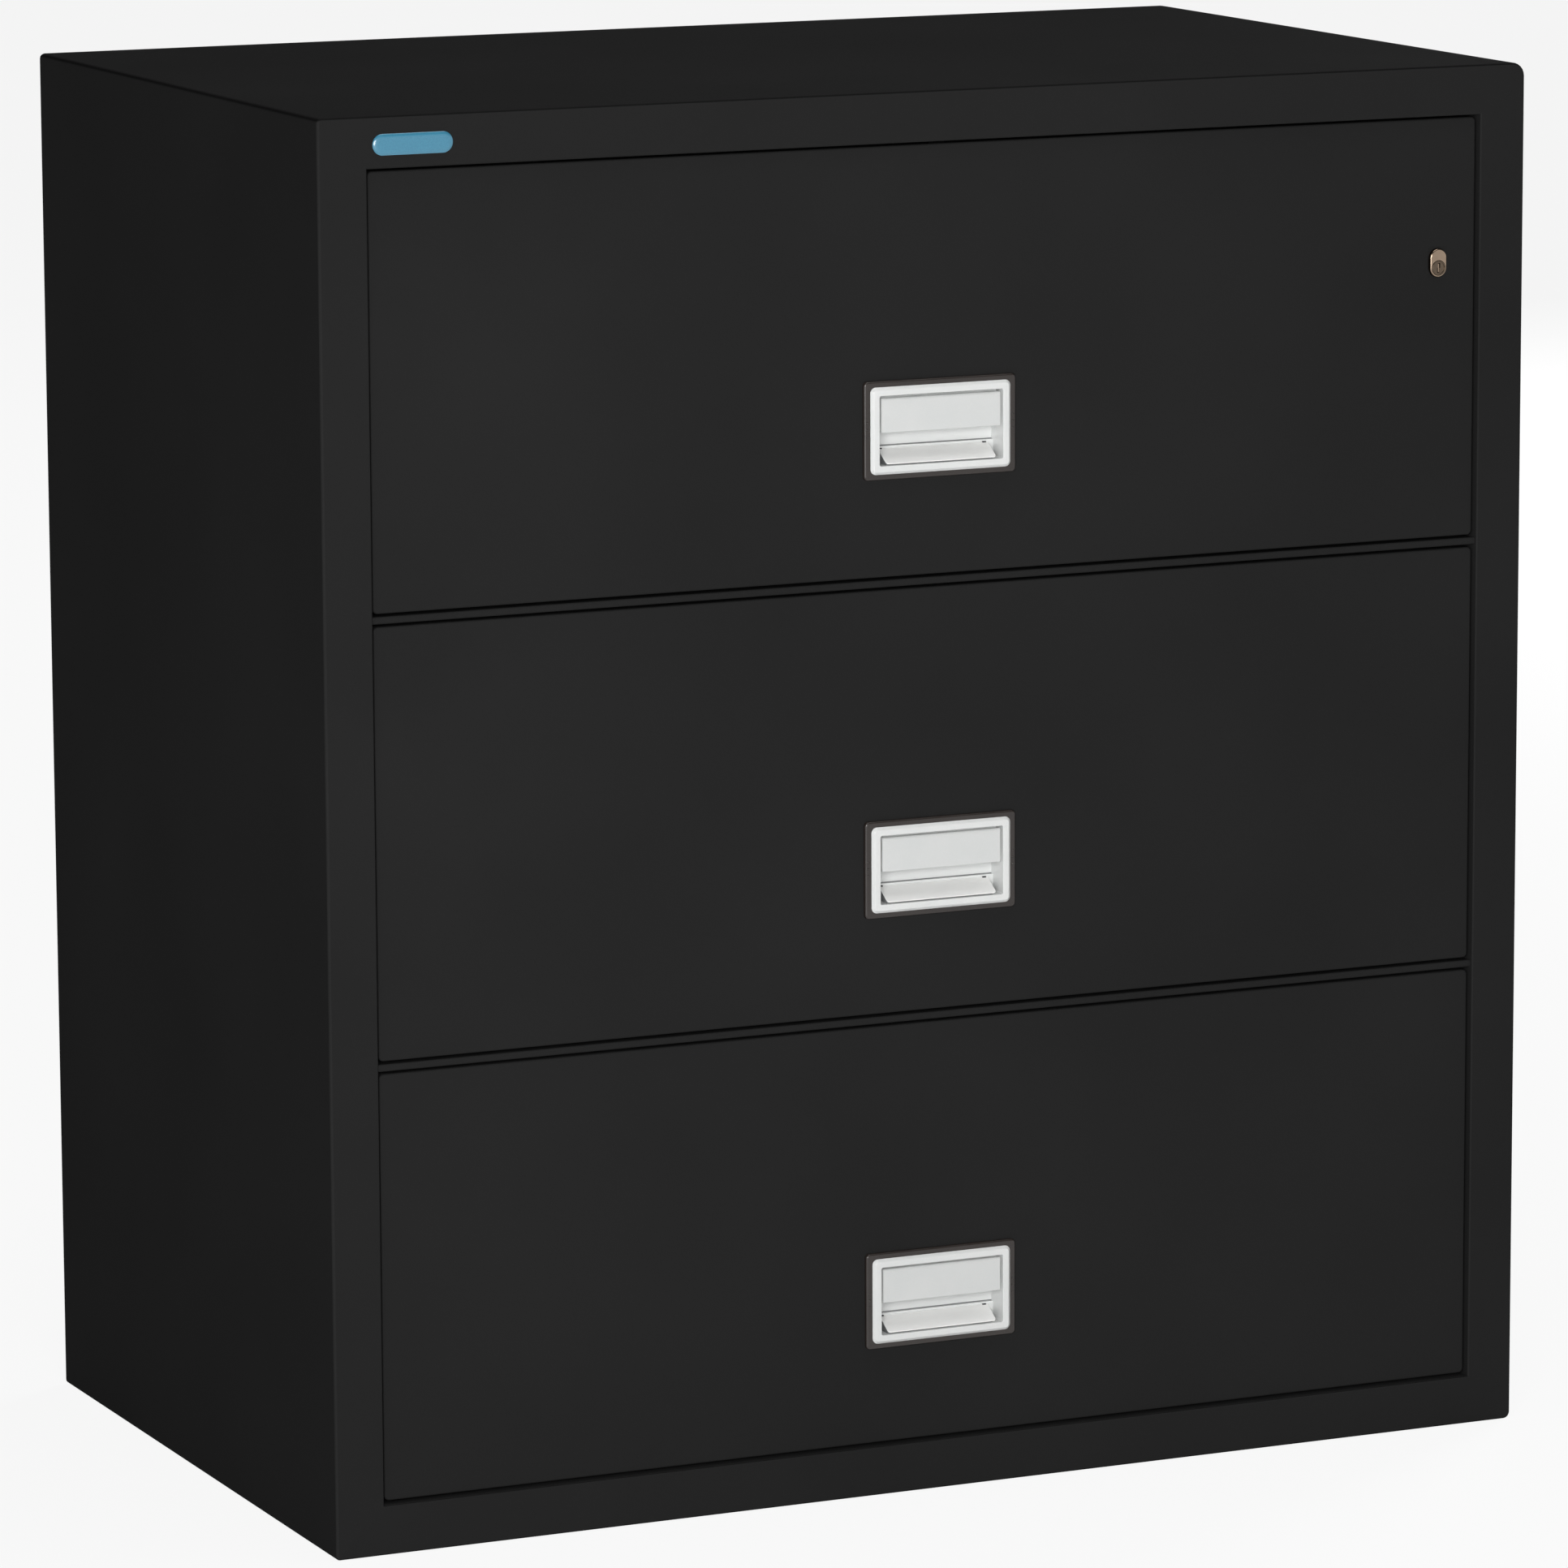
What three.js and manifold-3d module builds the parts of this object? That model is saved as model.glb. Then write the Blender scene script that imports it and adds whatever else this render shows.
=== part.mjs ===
// Lateral filing cabinet: a steel case with thick insulated walls and three wide drawers on
// telescoping slides. Each drawer has a recessed paddle handle, and the top one a push lock.
// Millimetres, +Z up, drawers facing -Y, origin on the floor under the middle of the case.
import * as THREE from 'three';
import { mergeVertices } from 'three/addons/utils/BufferGeometryUtils.js';
import Module from 'manifold-3d';

const wasm = await Module();
wasm.setup();

// Case
const WIDTH = 952;
const DEPTH = 574;
const HEIGHT = 1026;
const SHEET = 1.25;
const SEAT = 0.05; // between faces that rest on each other
const BORDER = 36.75; // painted frame round the drawers
const LIP_DEPTH = 62; // how far the frame's rolled edge reaches back
const TOP_BEND = 6;
const FOOT_BEND = 4;
const EDGE_BEND = 2;
const BACK_FLANGE = 15;
const BACK_OVERLAP = 20; // back sheet behind the cap and the base

// Drawer grid and bays
const DRAWERS = ['bottom', 'middle', 'top'];
const LOCKED_DRAWER = 'top';
const RAIL = 5.25;
const RAIL_SETBACK = 3;
const RAIL_BEND = 1.75;
const GAP = 2; // round each drawer front
const RECESS = 4; // drawer fronts behind the frame
const WALL = 76; // outside of the case to the inside of a bay
const BACK_WALL = 62;
const BAY_OVERLAP = 22.5; // drawer front over the bay's edge, above and below

// Drawer front and tray
const FRONT_THICK = 55;
const FRONT_CORNER = 3;
const FRONT_EDGE = 1.5;
const TRAY_CLEAR = 12; // above the bay's floor
const TRAY_HEADROOM = 18.5; // below the bay's ceiling
const TRAY_BACK_CLEAR = 37; // in front of the bay's back wall
const TRAY_LIP = 10;

// Slides
const SLIDE_SHEET = 1.5;
const SLIDE_BEND = 2.25;
const SLIDE_SPACE = 14; // bay wall to tray
const SLIDE_HEIGHT = 46;
const SLIDE_RISE = 80; // middle of the slide above the tray's floor
const SLIDE_START = 3; // behind the bay's front edge
const SLIDE_BACK_CLEAR = 17; // in front of the bay's back wall
const RUN_GAP = 0.4;
const LEG_SHORT = 2; // fixed channel's legs stop this far from the tray

// Handle
const HANDLE_DROP = 48.5; // below the middle of the drawer front
const BEZEL_WIDTH = 120.5;
const BEZEL_HEIGHT = 71.5;
const BEZEL_CORNER = 3;
const BEZEL_THICK = 3;
const BEZEL_EDGE = 1;
const RIM_WIDTH = 111;
const RIM_HEIGHT = 63;
const RIM_CORNER = 4;
const RIM_THICK = 2.5;
const RIM_EDGE = 1.1;
const POCKET_WIDTH = 98;
const POCKET_HEIGHT = 50.5;
const POCKET_CORNER = 3;
const POCKET_DEPTH = 20;
const POCKET_WALL = 3;
const POCKET_BACK = 2;
const POCKET_ROOM = 4; // hollow left round the pocket inside the front
const FIT = 0.3; // round what passes through a hole
const RAMP_WIDTH = 86.5;
const RAMP_START = 1.5; // behind the rim
const RAMP_DEPTH = 15.5;
const RAMP_RISE = 10.8;
const RAMP_SLOT = 5;

// Paddle and its latch bar
const PADDLE_HEIGHT = 24.7;
const PADDLE_THICK = 3;
const PADDLE_GAP = 1.8;
const PADDLE_INSET = 1.25; // behind the rim
const PADDLE_CORNER = 2.5;
const PADDLE_EDGE = 0.8;
const PIVOT_DROP = 2; // pivot below the paddle's top edge
const PIVOT_RADIUS = 1.2;
const PIVOT_REACH = 1.75; // pivot pin into the pocket's wall
const LUG_WIDTH = 6;
const LUG_THICK = 2.4;
const LUG_LENGTH = 11; // from the pivot
const LATCH_WIDTH = 12;
const LATCH_THICK = 2;
const LATCH_BACK = 6.75; // pivot to the bar's near face
const LATCH_SLOT = 0.4; // round the bar
const LATCH_PROUD = 1; // bar's tip above the drawer front
const WINDOW_WIDTH = 7.5;
const WINDOW_HEIGHT = 3.8;
const WINDOW_FOOT = 2.5;
const STRIKE_EASE = 1.5; // round the bar's tip in the frame

// Push lock
const LOCK_IN = 31.25; // from the drawer front's right edge
const LOCK_DOWN = 106; // from its top edge
const LOCK_WIDTH = 13.6;
const LOCK_HEIGHT = 21;
const LOCK_PROUD = 2.5;
const LOCK_LENGTH = 34;
const LOCK_EDGE = 0.6;
const LOCK_CASE_WALL = 5;
const LOCK_CASE_DEPTH = 42;
const PLUG_RADIUS = 5.4;
const PLUG_LENGTH = 18;
const PLUG_PROUD = 0.4;
const KEYWAY_WIDTH = 2;
const KEYWAY_HEIGHT = 7.5;
const KEYWAY_DEPTH = 9;

// Badge
const BADGE_WIDTH = 60;
const BADGE_HEIGHT = 15;
const BADGE_THICK = 2;
const BADGE_EDGE = 0.9;
const BADGE_RISE = 16.75; // middle of the badge above the opening
const BADGE_IN = 4; // badge's left end from the edge of the opening

// Fineness of curves, and how far a cutting tool runs past what it cuts
const ARC_STEPS = 6;
const EDGE_STEPS = 3;
const PIN_SIDES = 20;
const PAST = 1;
const ROUND_END = 0.15; // flat left between two half circles

// Planes and spans that follow from the sizes
const SIDE = WIDTH / 2;
const FRONT = -DEPTH / 2;
const BACK = DEPTH / 2;
const OPEN = SIDE - BORDER;
const OPEN_LOW = BORDER;
const OPEN_HIGH = HEIGHT - BORDER;
const LIP_END = FRONT + LIP_DEPTH;
const FACE = FRONT + RECESS;
const BAY = SIDE - WALL;
const BAY_BACK = BACK - BACK_WALL;
const CELL = (OPEN_HIGH - OPEN_LOW - (DRAWERS.length - 1) * RAIL) / DRAWERS.length;
const FRONT_WIDTH = 2 * (OPEN - GAP);
const FRONT_HEIGHT = CELL - 2 * GAP;
const BOARD_SIDE = SIDE - SHEET - SEAT;
const BOARD_START = FRONT + EDGE_BEND;
const BOARD_BACK = BACK - Math.max(EDGE_BEND, 2 * SHEET + SEAT) - SEAT;
const BAY_FLOOR = OPEN_LOW + GAP + BAY_OVERLAP;
const BAY_CEILING = OPEN_HIGH - GAP - BAY_OVERLAP;
const TRAY_SIDE = BAY - SLIDE_SPACE;
const TRAY_FLOOR = BAY_OVERLAP + TRAY_CLEAR;
const TRAY_TOP = FRONT_HEIGHT - BAY_OVERLAP - TRAY_HEADROOM;
const TRAY_START = FRONT_THICK + SEAT;
const TRAY_END = BAY_BACK - FACE - TRAY_BACK_CLEAR;
const SLIDE_NEAR = LIP_DEPTH - RECESS + SLIDE_START;
const SLIDE_FAR = BAY_BACK - FACE - SLIDE_BACK_CLEAR;
const HANDLE_HEIGHT = FRONT_HEIGHT / 2 - HANDLE_DROP;
const RIM_FACE = -BEZEL_THICK - RIM_THICK;
const POCKET_END = RIM_FACE + POCKET_DEPTH;
const PADDLE_TOP = POCKET_HEIGHT / 2 - PADDLE_GAP;
const PIVOT_Y = RIM_FACE + PADDLE_INSET + PADDLE_THICK / 2;
const PIVOT_Z = PADDLE_TOP - PIVOT_DROP;
const LATCH_Y = PIVOT_Y + LATCH_BACK;

// Directions of a profile's two axes and of its length
const ALONG = {
  x: [new THREE.Vector3(0, 1, 0), new THREE.Vector3(0, 0, 1), new THREE.Vector3(1, 0, 0)],
  y: [new THREE.Vector3(1, 0, 0), new THREE.Vector3(0, 0, 1), new THREE.Vector3(0, -1, 0)],
  z: [new THREE.Vector3(1, 0, 0), new THREE.Vector3(0, 1, 0), new THREE.Vector3(0, 0, 1)],
};

// Colour, roughness and metalness of each material
const FINISH = {
  blackPaint: [0x262626, 0.55, 0],
  greyPaint: [0x8c8f90, 0.5, 0],
  gypsum: [0xd9d5c9, 0.95, 0],
  zincSteel: [0xb4b8ba, 0.4, 1],
  greyPlastic: [0x403c3a, 0.6, 0],
  whitePlastic: [0xebebe8, 0.35, 0],
  nickel: [0xcac7c0, 0.25, 1],
  blueResin: [0x3f9cc0, 0.12, 0],
};

// Joining and cutting closed meshes
function asSolid(geometry) {
  const bare = geometry.clone();
  bare.deleteAttribute('normal');
  bare.deleteAttribute('uv');
  const joined = mergeVertices(bare);
  return new wasm.Manifold(new wasm.Mesh({
    numProp: 3,
    vertProperties: joined.attributes.position.array,
    triVerts: new Uint32Array(joined.index.array),
  }));
}

function asGeometry(solid) {
  const mesh = solid.getMesh();
  const geometry = new THREE.BufferGeometry();
  geometry.setAttribute('position', new THREE.BufferAttribute(mesh.vertProperties, 3));
  geometry.setIndex(new THREE.BufferAttribute(mesh.triVerts, 1));
  const flat = geometry.toNonIndexed();
  flat.computeVertexNormals();
  return flat;
}

function join(first, ...others) {
  return asGeometry(others.reduce((whole, other) => whole.add(asSolid(other)), asSolid(first)));
}

function cut(body, ...tools) {
  return asGeometry(tools.reduce((whole, tool) => whole.subtract(asSolid(tool)), asSolid(body)));
}

function common(first, ...others) {
  return asGeometry(others.reduce((whole, other) => whole.intersect(asSolid(other)), asSolid(first)));
}

// Basic forms, each placed by the spans that it fills
function block([x0, x1], [y0, y1], [z0, z1]) {
  const box = new THREE.BoxGeometry(x1 - x0, y1 - y0, z1 - z0);
  return box.translate((x0 + x1) / 2, (y0 + y1) / 2, (z0 + z1) / 2);
}

function prism(axis, shape, [from, to], edge = 0) {
  const geometry = new THREE.ExtrudeGeometry(shape, {
    depth: to - from - 2 * edge,
    curveSegments: ARC_STEPS / 2,
    bevelEnabled: edge > 0,
    bevelThickness: edge,
    bevelSize: edge,
    bevelOffset: -edge,
    bevelSegments: EDGE_STEPS,
  });
  geometry.translate(0, 0, edge + (axis === 'y' ? -to : from));
  return geometry.applyMatrix4(new THREE.Matrix4().makeBasis(...ALONG[axis]));
}

function pin([x0, x1], y, z, radius) {
  const rod = new THREE.CylinderGeometry(radius, radius, x1 - x0, PIN_SIDES);
  return rod.rotateZ(-Math.PI / 2).translate((x0 + x1) / 2, y, z);
}

function barrel(x, [y0, y1], z, radius) {
  const rod = new THREE.CylinderGeometry(radius, radius, y1 - y0, PIN_SIDES);
  return rod.translate(x, (y0 + y1) / 2, z);
}

// Flat outlines
function polygon(points) {
  return new THREE.Shape(points.map(([u, v]) => new THREE.Vector2(u, v)));
}

function roundedRect([u0, u1], [v0, v1], low, high = low) {
  const quarter = Math.PI / 2;
  const corners = [
    [u1 - low, v0 + low, low, -quarter],
    [u1 - high, v1 - high, high, 0],
    [u0 + high, v1 - high, high, quarter],
    [u0 + low, v0 + low, low, 2 * quarter],
  ];
  const angles = Array.from({ length: ARC_STEPS + 1 }, (_, step) => quarter * step / ARC_STEPS);
  return polygon(corners.flatMap(([u, v, radius, start]) => angles.map(
    (angle) => [u + radius * Math.cos(start + angle), v + radius * Math.sin(start + angle)])));
}

function centredRect(width, height, corner, u = 0, v = 0) {
  return roundedRect([u - width / 2, u + width / 2], [v - height / 2, v + height / 2], corner);
}

function obround(width, height, u = 0, v = 0) {
  return centredRect(width, height, Math.min(width, height) / 2 - ROUND_END, u, v);
}

// One bend of a folded sheet: its centre, and its angles on the way in and out
function bendAt(before, corner, after, radius) {
  const into = corner.clone().sub(before).normalize();
  const out = after.clone().sub(corner).normalize();
  const turn = Math.sign(into.cross(out));
  const angle = Math.acos(into.dot(out));
  const inward = new THREE.Vector2(-into.y, into.x).multiplyScalar(turn);
  const outward = new THREE.Vector2(-out.y, out.x).multiplyScalar(turn);
  const centre = corner.clone().addScaledVector(into, -radius * Math.tan(angle / 2));
  centre.addScaledVector(inward, radius);
  return { centre, turn, start: inward.negate().angle(), end: outward.negate().angle() };
}

// A sheet of even thickness, folded along the path of its middle line
function foldedSheet(path, thickness, bend) {
  const points = path.map(([u, v]) => new THREE.Vector2(u, v));
  const middle = bend - thickness / 2;
  const bends = points.slice(1, -1).map(
    (corner, i) => bendAt(points[i], corner, points[i + 2], middle));
  const half = (from, to) => to.clone().sub(from).normalize().rotateAround(
    new THREE.Vector2(), Math.PI / 2).multiplyScalar(thickness / 2);
  const first = half(points[0], points[1]);
  const last = half(points.at(-2), points.at(-1));
  const shape = new THREE.Shape();
  shape.moveTo(points[0].x + first.x, points[0].y + first.y);
  for (const { centre, turn, start, end } of bends) {
    shape.absarc(centre.x, centre.y, middle - turn * thickness / 2, start, end, turn < 0);
  }
  shape.lineTo(points.at(-1).x + last.x, points.at(-1).y + last.y);
  shape.lineTo(points.at(-1).x - last.x, points.at(-1).y - last.y);
  for (const { centre, turn, start, end } of bends.toReversed()) {
    shape.absarc(centre.x, centre.y, middle + turn * thickness / 2, end, start, turn > 0);
  }
  shape.lineTo(points[0].x - first.x, points[0].y - first.y);
  return shape;
}

function add(parent, name, finish, geometry) {
  const [color, roughness, metalness] = FINISH[finish];
  const mesh = new THREE.Mesh(geometry, new THREE.MeshStandardMaterial({ color, roughness, metalness }));
  mesh.name = name;
  parent.add(mesh);
}

// Outer skin of the case
function caseForm(inset) {
  const across = [-SIDE + inset, SIDE - inset];
  const along = [FRONT + inset, BACK - inset];
  const up = [inset, HEIGHT - inset];
  const edge = EDGE_BEND - inset;
  const longer = ([from, to]) => [from - PAST, to + PAST];
  return common(
    prism('y', roundedRect(across, up, FOOT_BEND - inset, TOP_BEND - inset), longer(along)),
    prism('z', roundedRect(across, along, edge), longer(up)),
    prism('x', roundedRect(along, up, edge), longer(across)));
}

function rolledLip(height, up) {
  const face = FRONT + SHEET / 2;
  const level = height + up * SHEET / 2;
  const path = [[face, height + up * 2 * EDGE_BEND], [face, level], [LIP_END, level]];
  return prism('x', foldedSheet(path, SHEET, EDGE_BEND), [-OPEN, OPEN]);
}

// Cap with the header, or base with the sill: a slice of the skin with a rolled lip
function endPanel(height, up) {
  const far = height + up * HEIGHT;
  const span = (a, b) => [Math.min(a, b), Math.max(a, b)];
  const slice = block([-WIDTH, WIDTH], [-DEPTH, DEPTH], span(height, far));
  const raw = cut(common(caseForm(0), slice), caseForm(SHEET));
  const edge = span(height - up * PAST, height + up * EDGE_BEND);
  const notch = block([-OPEN, OPEN], [FRONT - PAST, FRONT + EDGE_BEND], edge);
  return join(cut(raw, notch), rolledLip(height, up));
}

// Slot over a latch bar's tip, in the sheet whose underside is at the height given
function strikeSlot(height) {
  const reach = LATCH_WIDTH / 2 + STRIKE_EASE;
  const near = FACE + LATCH_Y;
  return block([-reach, reach], [near - STRIKE_EASE, near + LATCH_THICK + STRIKE_EASE],
    [height - PAST, height + SHEET + PAST]);
}

function sidePanel(side) {
  const skin = side * (SIDE - SHEET / 2);
  const lip = side * (OPEN + SHEET / 2);
  const path = [
    [side * (SIDE - BACK_FLANGE), BACK - SHEET / 2],
    [skin, BACK - SHEET / 2],
    [skin, FRONT + SHEET / 2],
    [lip, FRONT + SHEET / 2],
    [lip, LIP_END],
  ];
  return prism('z', foldedSheet(path, SHEET, EDGE_BEND), [OPEN_LOW + SEAT, OPEN_HIGH - SEAT]);
}

function backPanel() {
  const reach = SIDE - EDGE_BEND - SEAT;
  return block([-reach, reach], [BACK - 2 * SHEET - SEAT, BACK - SHEET - SEAT],
    [OPEN_LOW - BACK_OVERLAP, OPEN_HIGH + BACK_OVERLAP]);
}

function dividerRail(low) {
  const nose = FRONT + RAIL_SETBACK + SHEET / 2;
  const path = [
    [LIP_END, low + RAIL - SHEET / 2],
    [nose, low + RAIL - SHEET / 2],
    [nose, low + SHEET / 2],
    [LIP_END, low + SHEET / 2],
  ];
  const rail = prism('x', foldedSheet(path, SHEET, RAIL_BEND), [-OPEN + SEAT, OPEN - SEAT]);
  return cut(rail, strikeSlot(low));
}

// Insulating boards and partitions round the bays
function sideBoard(side) {
  const lip = OPEN + SHEET + SEAT;
  const outline = [
    [BAY, LIP_END + SEAT], [lip, LIP_END + SEAT], [lip, BOARD_START],
    [BOARD_SIDE, BOARD_START], [BOARD_SIDE, BOARD_BACK], [BAY, BOARD_BACK],
  ];
  const shape = polygon(outline.map(([x, y]) => [side * x, y]));
  return prism('z', shape, [BAY_FLOOR + SEAT, BAY_CEILING - SEAT]);
}

// Roof or floor board: its outer edges clear the skin's bends, and a tongue fills the frame
function endBoard(inner, tongue, outer, bend) {
  const corner = outer - Math.sign(outer - inner) * bend;
  const slab = (from) => polygon([
    [-BOARD_SIDE, from], [BOARD_SIDE, from], [BOARD_SIDE, corner],
    [BOARD_SIDE - bend, outer], [bend - BOARD_SIDE, outer], [-BOARD_SIDE, corner],
  ]);
  return join(
    prism('y', slab(inner), [LIP_END + SEAT, BOARD_BACK]),
    prism('y', slab(tongue), [BOARD_START, LIP_END + PAST]));
}

function backBoard() {
  return block([-BAY + SEAT, BAY - SEAT], [BAY_BACK, BOARD_BACK],
    [BAY_FLOOR + SEAT, BAY_CEILING - SEAT]);
}

function partition(railLow) {
  return block([-BAY + SEAT, BAY - SEAT], [LIP_END + SEAT, BAY_BACK - SEAT],
    [railLow - GAP - BAY_OVERLAP, railLow + RAIL + GAP + BAY_OVERLAP]);
}

function badge() {
  const middle = BADGE_IN - OPEN + BADGE_WIDTH / 2;
  const dome = prism('y', obround(BADGE_WIDTH, BADGE_HEIGHT, middle, OPEN_HIGH + BADGE_RISE),
    [FRONT - BADGE_THICK, FRONT + BADGE_THICK], BADGE_EDGE);
  return cut(dome, block([-SIDE, SIDE], [FRONT - SEAT, FRONT + 2 * BADGE_THICK], [0, HEIGHT]));
}

// Telescoping slide members, in the drawer's frame: y from the drawer's face, z from its foot
function slideMember(side, web, legs, height, span) {
  const middle = TRAY_FLOOR + SLIDE_RISE;
  const half = height / 2 - SLIDE_SHEET / 2;
  const path = [[legs, middle + half], [web, middle + half], [web, middle - half], [legs, middle - half]];
  const outline = foldedSheet(path.map(([x, z]) => [side * x, z]), SLIDE_SHEET, SLIDE_BEND);
  return prism('y', outline, span);
}

function addSlide(parent, drawer, hand, side) {
  const whole = [SLIDE_NEAR, SLIDE_FAR];
  const step = SLIDE_SHEET + RUN_GAP;
  const fixedWeb = BAY - SEAT - SLIDE_SHEET / 2;
  const movingWeb = fixedWeb - step;
  const trayWeb = TRAY_SIDE + SEAT + SLIDE_SHEET / 2;
  const member = (name, ...sizes) =>
    add(parent, `${name}_${drawer}_${hand}`, 'zincSteel', slideMember(side, ...sizes));
  member('slide_channel', fixedWeb, TRAY_SIDE + LEG_SHORT, SLIDE_HEIGHT, whole);
  member('slide_middle', movingWeb, TRAY_SIDE + SLIDE_SHEET, SLIDE_HEIGHT - 2 * step, whole);
  member('slide_inner', trayWeb, movingWeb - SLIDE_SHEET / 2 - RUN_GAP, SLIDE_HEIGHT - 4 * step,
    [SLIDE_NEAR, TRAY_END]);
}

// Holes through the drawer front, in the drawer's frame
function latchHole(from, to, ease) {
  const reach = LATCH_WIDTH / 2 + ease;
  return block([-reach, reach], [LATCH_Y - ease, LATCH_Y + LATCH_THICK + ease], [from, to]);
}

function handleHole(grow, span) {
  const rim = 2 * (POCKET_WALL + grow);
  const shape = centredRect(POCKET_WIDTH + rim, POCKET_HEIGHT + rim, POCKET_CORNER + grow,
    0, HANDLE_HEIGHT);
  return prism('y', shape, span);
}

function lockOutline(grow) {
  return obround(LOCK_WIDTH + 2 * grow, LOCK_HEIGHT + 2 * grow,
    FRONT_WIDTH / 2 - LOCK_IN, FRONT_HEIGHT - LOCK_DOWN);
}

function lockRoom(grow) {
  const x = FRONT_WIDTH / 2 - LOCK_IN;
  const z = FRONT_HEIGHT - LOCK_DOWN;
  const wide = LOCK_WIDTH / 2 + LOCK_CASE_WALL + grow;
  const high = LOCK_HEIGHT / 2 + LOCK_CASE_WALL + grow;
  return block([x - wide, x + wide], [SHEET + SEAT - grow, SHEET + LOCK_CASE_DEPTH + grow],
    [z - high, z + high]);
}

// Drawer front, its filling and the plate behind it
function frontInside(inset, span) {
  const side = FRONT_WIDTH / 2 - inset;
  return block([-side, side], span, [inset, FRONT_HEIGHT - inset]);
}

function frontShell(locked) {
  const outline = roundedRect([-FRONT_WIDTH / 2, FRONT_WIDTH / 2], [0, FRONT_HEIGHT], FRONT_CORNER);
  const whole = prism('y', outline, [0, FRONT_THICK + FRONT_EDGE], FRONT_EDGE);
  const tools = [
    block([-WIDTH, WIDTH], [FRONT_THICK, DEPTH], [-HEIGHT, HEIGHT]),
    frontInside(SHEET, [SHEET, FRONT_THICK + PAST]),
    handleHole(FIT, [-PAST, SHEET + PAST]),
    latchHole(HANDLE_HEIGHT, FRONT_HEIGHT + PAST, LATCH_SLOT),
  ];
  if (locked) tools.push(prism('y', lockOutline(FIT), [-PAST, SHEET + PAST]));
  return cut(whole, ...tools);
}

function frontFilling(locked) {
  const span = [SHEET + SEAT, FRONT_THICK - SHEET - SEAT];
  const tools = [
    handleHole(POCKET_ROOM, [0, POCKET_END + POCKET_BACK + POCKET_ROOM]),
    latchHole(HANDLE_HEIGHT, FRONT_HEIGHT, LATCH_SLOT),
  ];
  if (locked) tools.push(lockRoom(SEAT));
  return cut(frontInside(SHEET + SEAT, span), ...tools);
}

function tray() {
  const within = (inset) => [
    [inset - TRAY_SIDE, TRAY_SIDE - inset], [TRAY_START + inset, TRAY_END - inset],
  ];
  return cut(
    block(...within(0), [TRAY_FLOOR, TRAY_TOP]),
    block(...within(SHEET), [TRAY_FLOOR + SHEET, TRAY_TOP - SHEET]),
    block(...within(TRAY_LIP), [TRAY_TOP - TRAY_LIP, TRAY_TOP + PAST]));
}

// Handle pieces, centred on the handle, with y from the drawer's face
function bezel() {
  const plate = prism('y', centredRect(BEZEL_WIDTH, BEZEL_HEIGHT, BEZEL_CORNER),
    [-BEZEL_THICK, -SEAT], BEZEL_EDGE);
  const grow = POCKET_WALL + FIT;
  const hole = centredRect(POCKET_WIDTH + 2 * grow, POCKET_HEIGHT + 2 * grow, POCKET_CORNER + FIT);
  return cut(plate, prism('y', hole, [-BEZEL_THICK - PAST, PAST]));
}

function fingerRamp() {
  const floor = -POCKET_HEIGHT / 2;
  const near = RIM_FACE + RAMP_START;
  const outline = [
    [near, floor - PAST], [near + RAMP_DEPTH, floor - PAST],
    [near + RAMP_DEPTH, floor + RAMP_RISE], [near, floor],
  ];
  return prism('x', polygon(outline), [-RAMP_WIDTH / 2, RAMP_WIDTH / 2]);
}

function pocket() {
  const rim = prism('y', centredRect(RIM_WIDTH, RIM_HEIGHT, RIM_CORNER),
    [RIM_FACE, -BEZEL_THICK - SEAT], RIM_EDGE);
  const walls = 2 * POCKET_WALL;
  const outside = centredRect(POCKET_WIDTH + walls, POCKET_HEIGHT + walls, POCKET_CORNER);
  const cup = prism('y', outside, [RIM_FACE + RIM_EDGE, POCKET_END + POCKET_BACK]);
  const inside = prism('y', centredRect(POCKET_WIDTH, POCKET_HEIGHT, POCKET_CORNER),
    [RIM_FACE - PAST, POCKET_END]);
  const slotStart = RIM_FACE + RAMP_START + RIM_THICK;
  const slot = (low) => block([low, low + RAMP_SLOT], [slotStart, slotStart + RAMP_DEPTH - RIM_THICK],
    [-POCKET_HEIGHT / 2 - POCKET_WALL - PAST, -POCKET_HEIGHT / 2 + PAST]);
  const reach = POCKET_WIDTH / 2 + PIVOT_REACH + FIT;
  const pivotHole = pin([-reach, reach], PIVOT_Y, PIVOT_Z, PIVOT_RADIUS + FIT);
  const latch = latchHole(0, POCKET_HEIGHT / 2 + POCKET_WALL + PAST, LATCH_SLOT);
  const hollow = cut(join(rim, cup), inside, pivotHole, latch);
  return cut(join(hollow, fingerRamp()), slot(RAMP_WIDTH / 2), slot(-RAMP_WIDTH / 2 - RAMP_SLOT));
}

function paddle() {
  const wide = POCKET_WIDTH / 2 - PADDLE_GAP;
  const near = RIM_FACE + PADDLE_INSET;
  const outline = roundedRect([-wide, wide], [PADDLE_TOP - PADDLE_HEIGHT, PADDLE_TOP], PADDLE_CORNER);
  const plate = prism('y', outline, [near, near + PADDLE_THICK], PADDLE_EDGE);
  const reach = POCKET_WIDTH / 2 + PIVOT_REACH;
  const pivot = pin([-reach, reach], PIVOT_Y, PIVOT_Z, PIVOT_RADIUS);
  const lug = block([-LUG_WIDTH / 2, LUG_WIDTH / 2], [PIVOT_Y, PIVOT_Y + LUG_LENGTH],
    [PIVOT_Z - LUG_THICK / 2, PIVOT_Z + LUG_THICK / 2]);
  return join(plate, pivot, lug);
}

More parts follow.
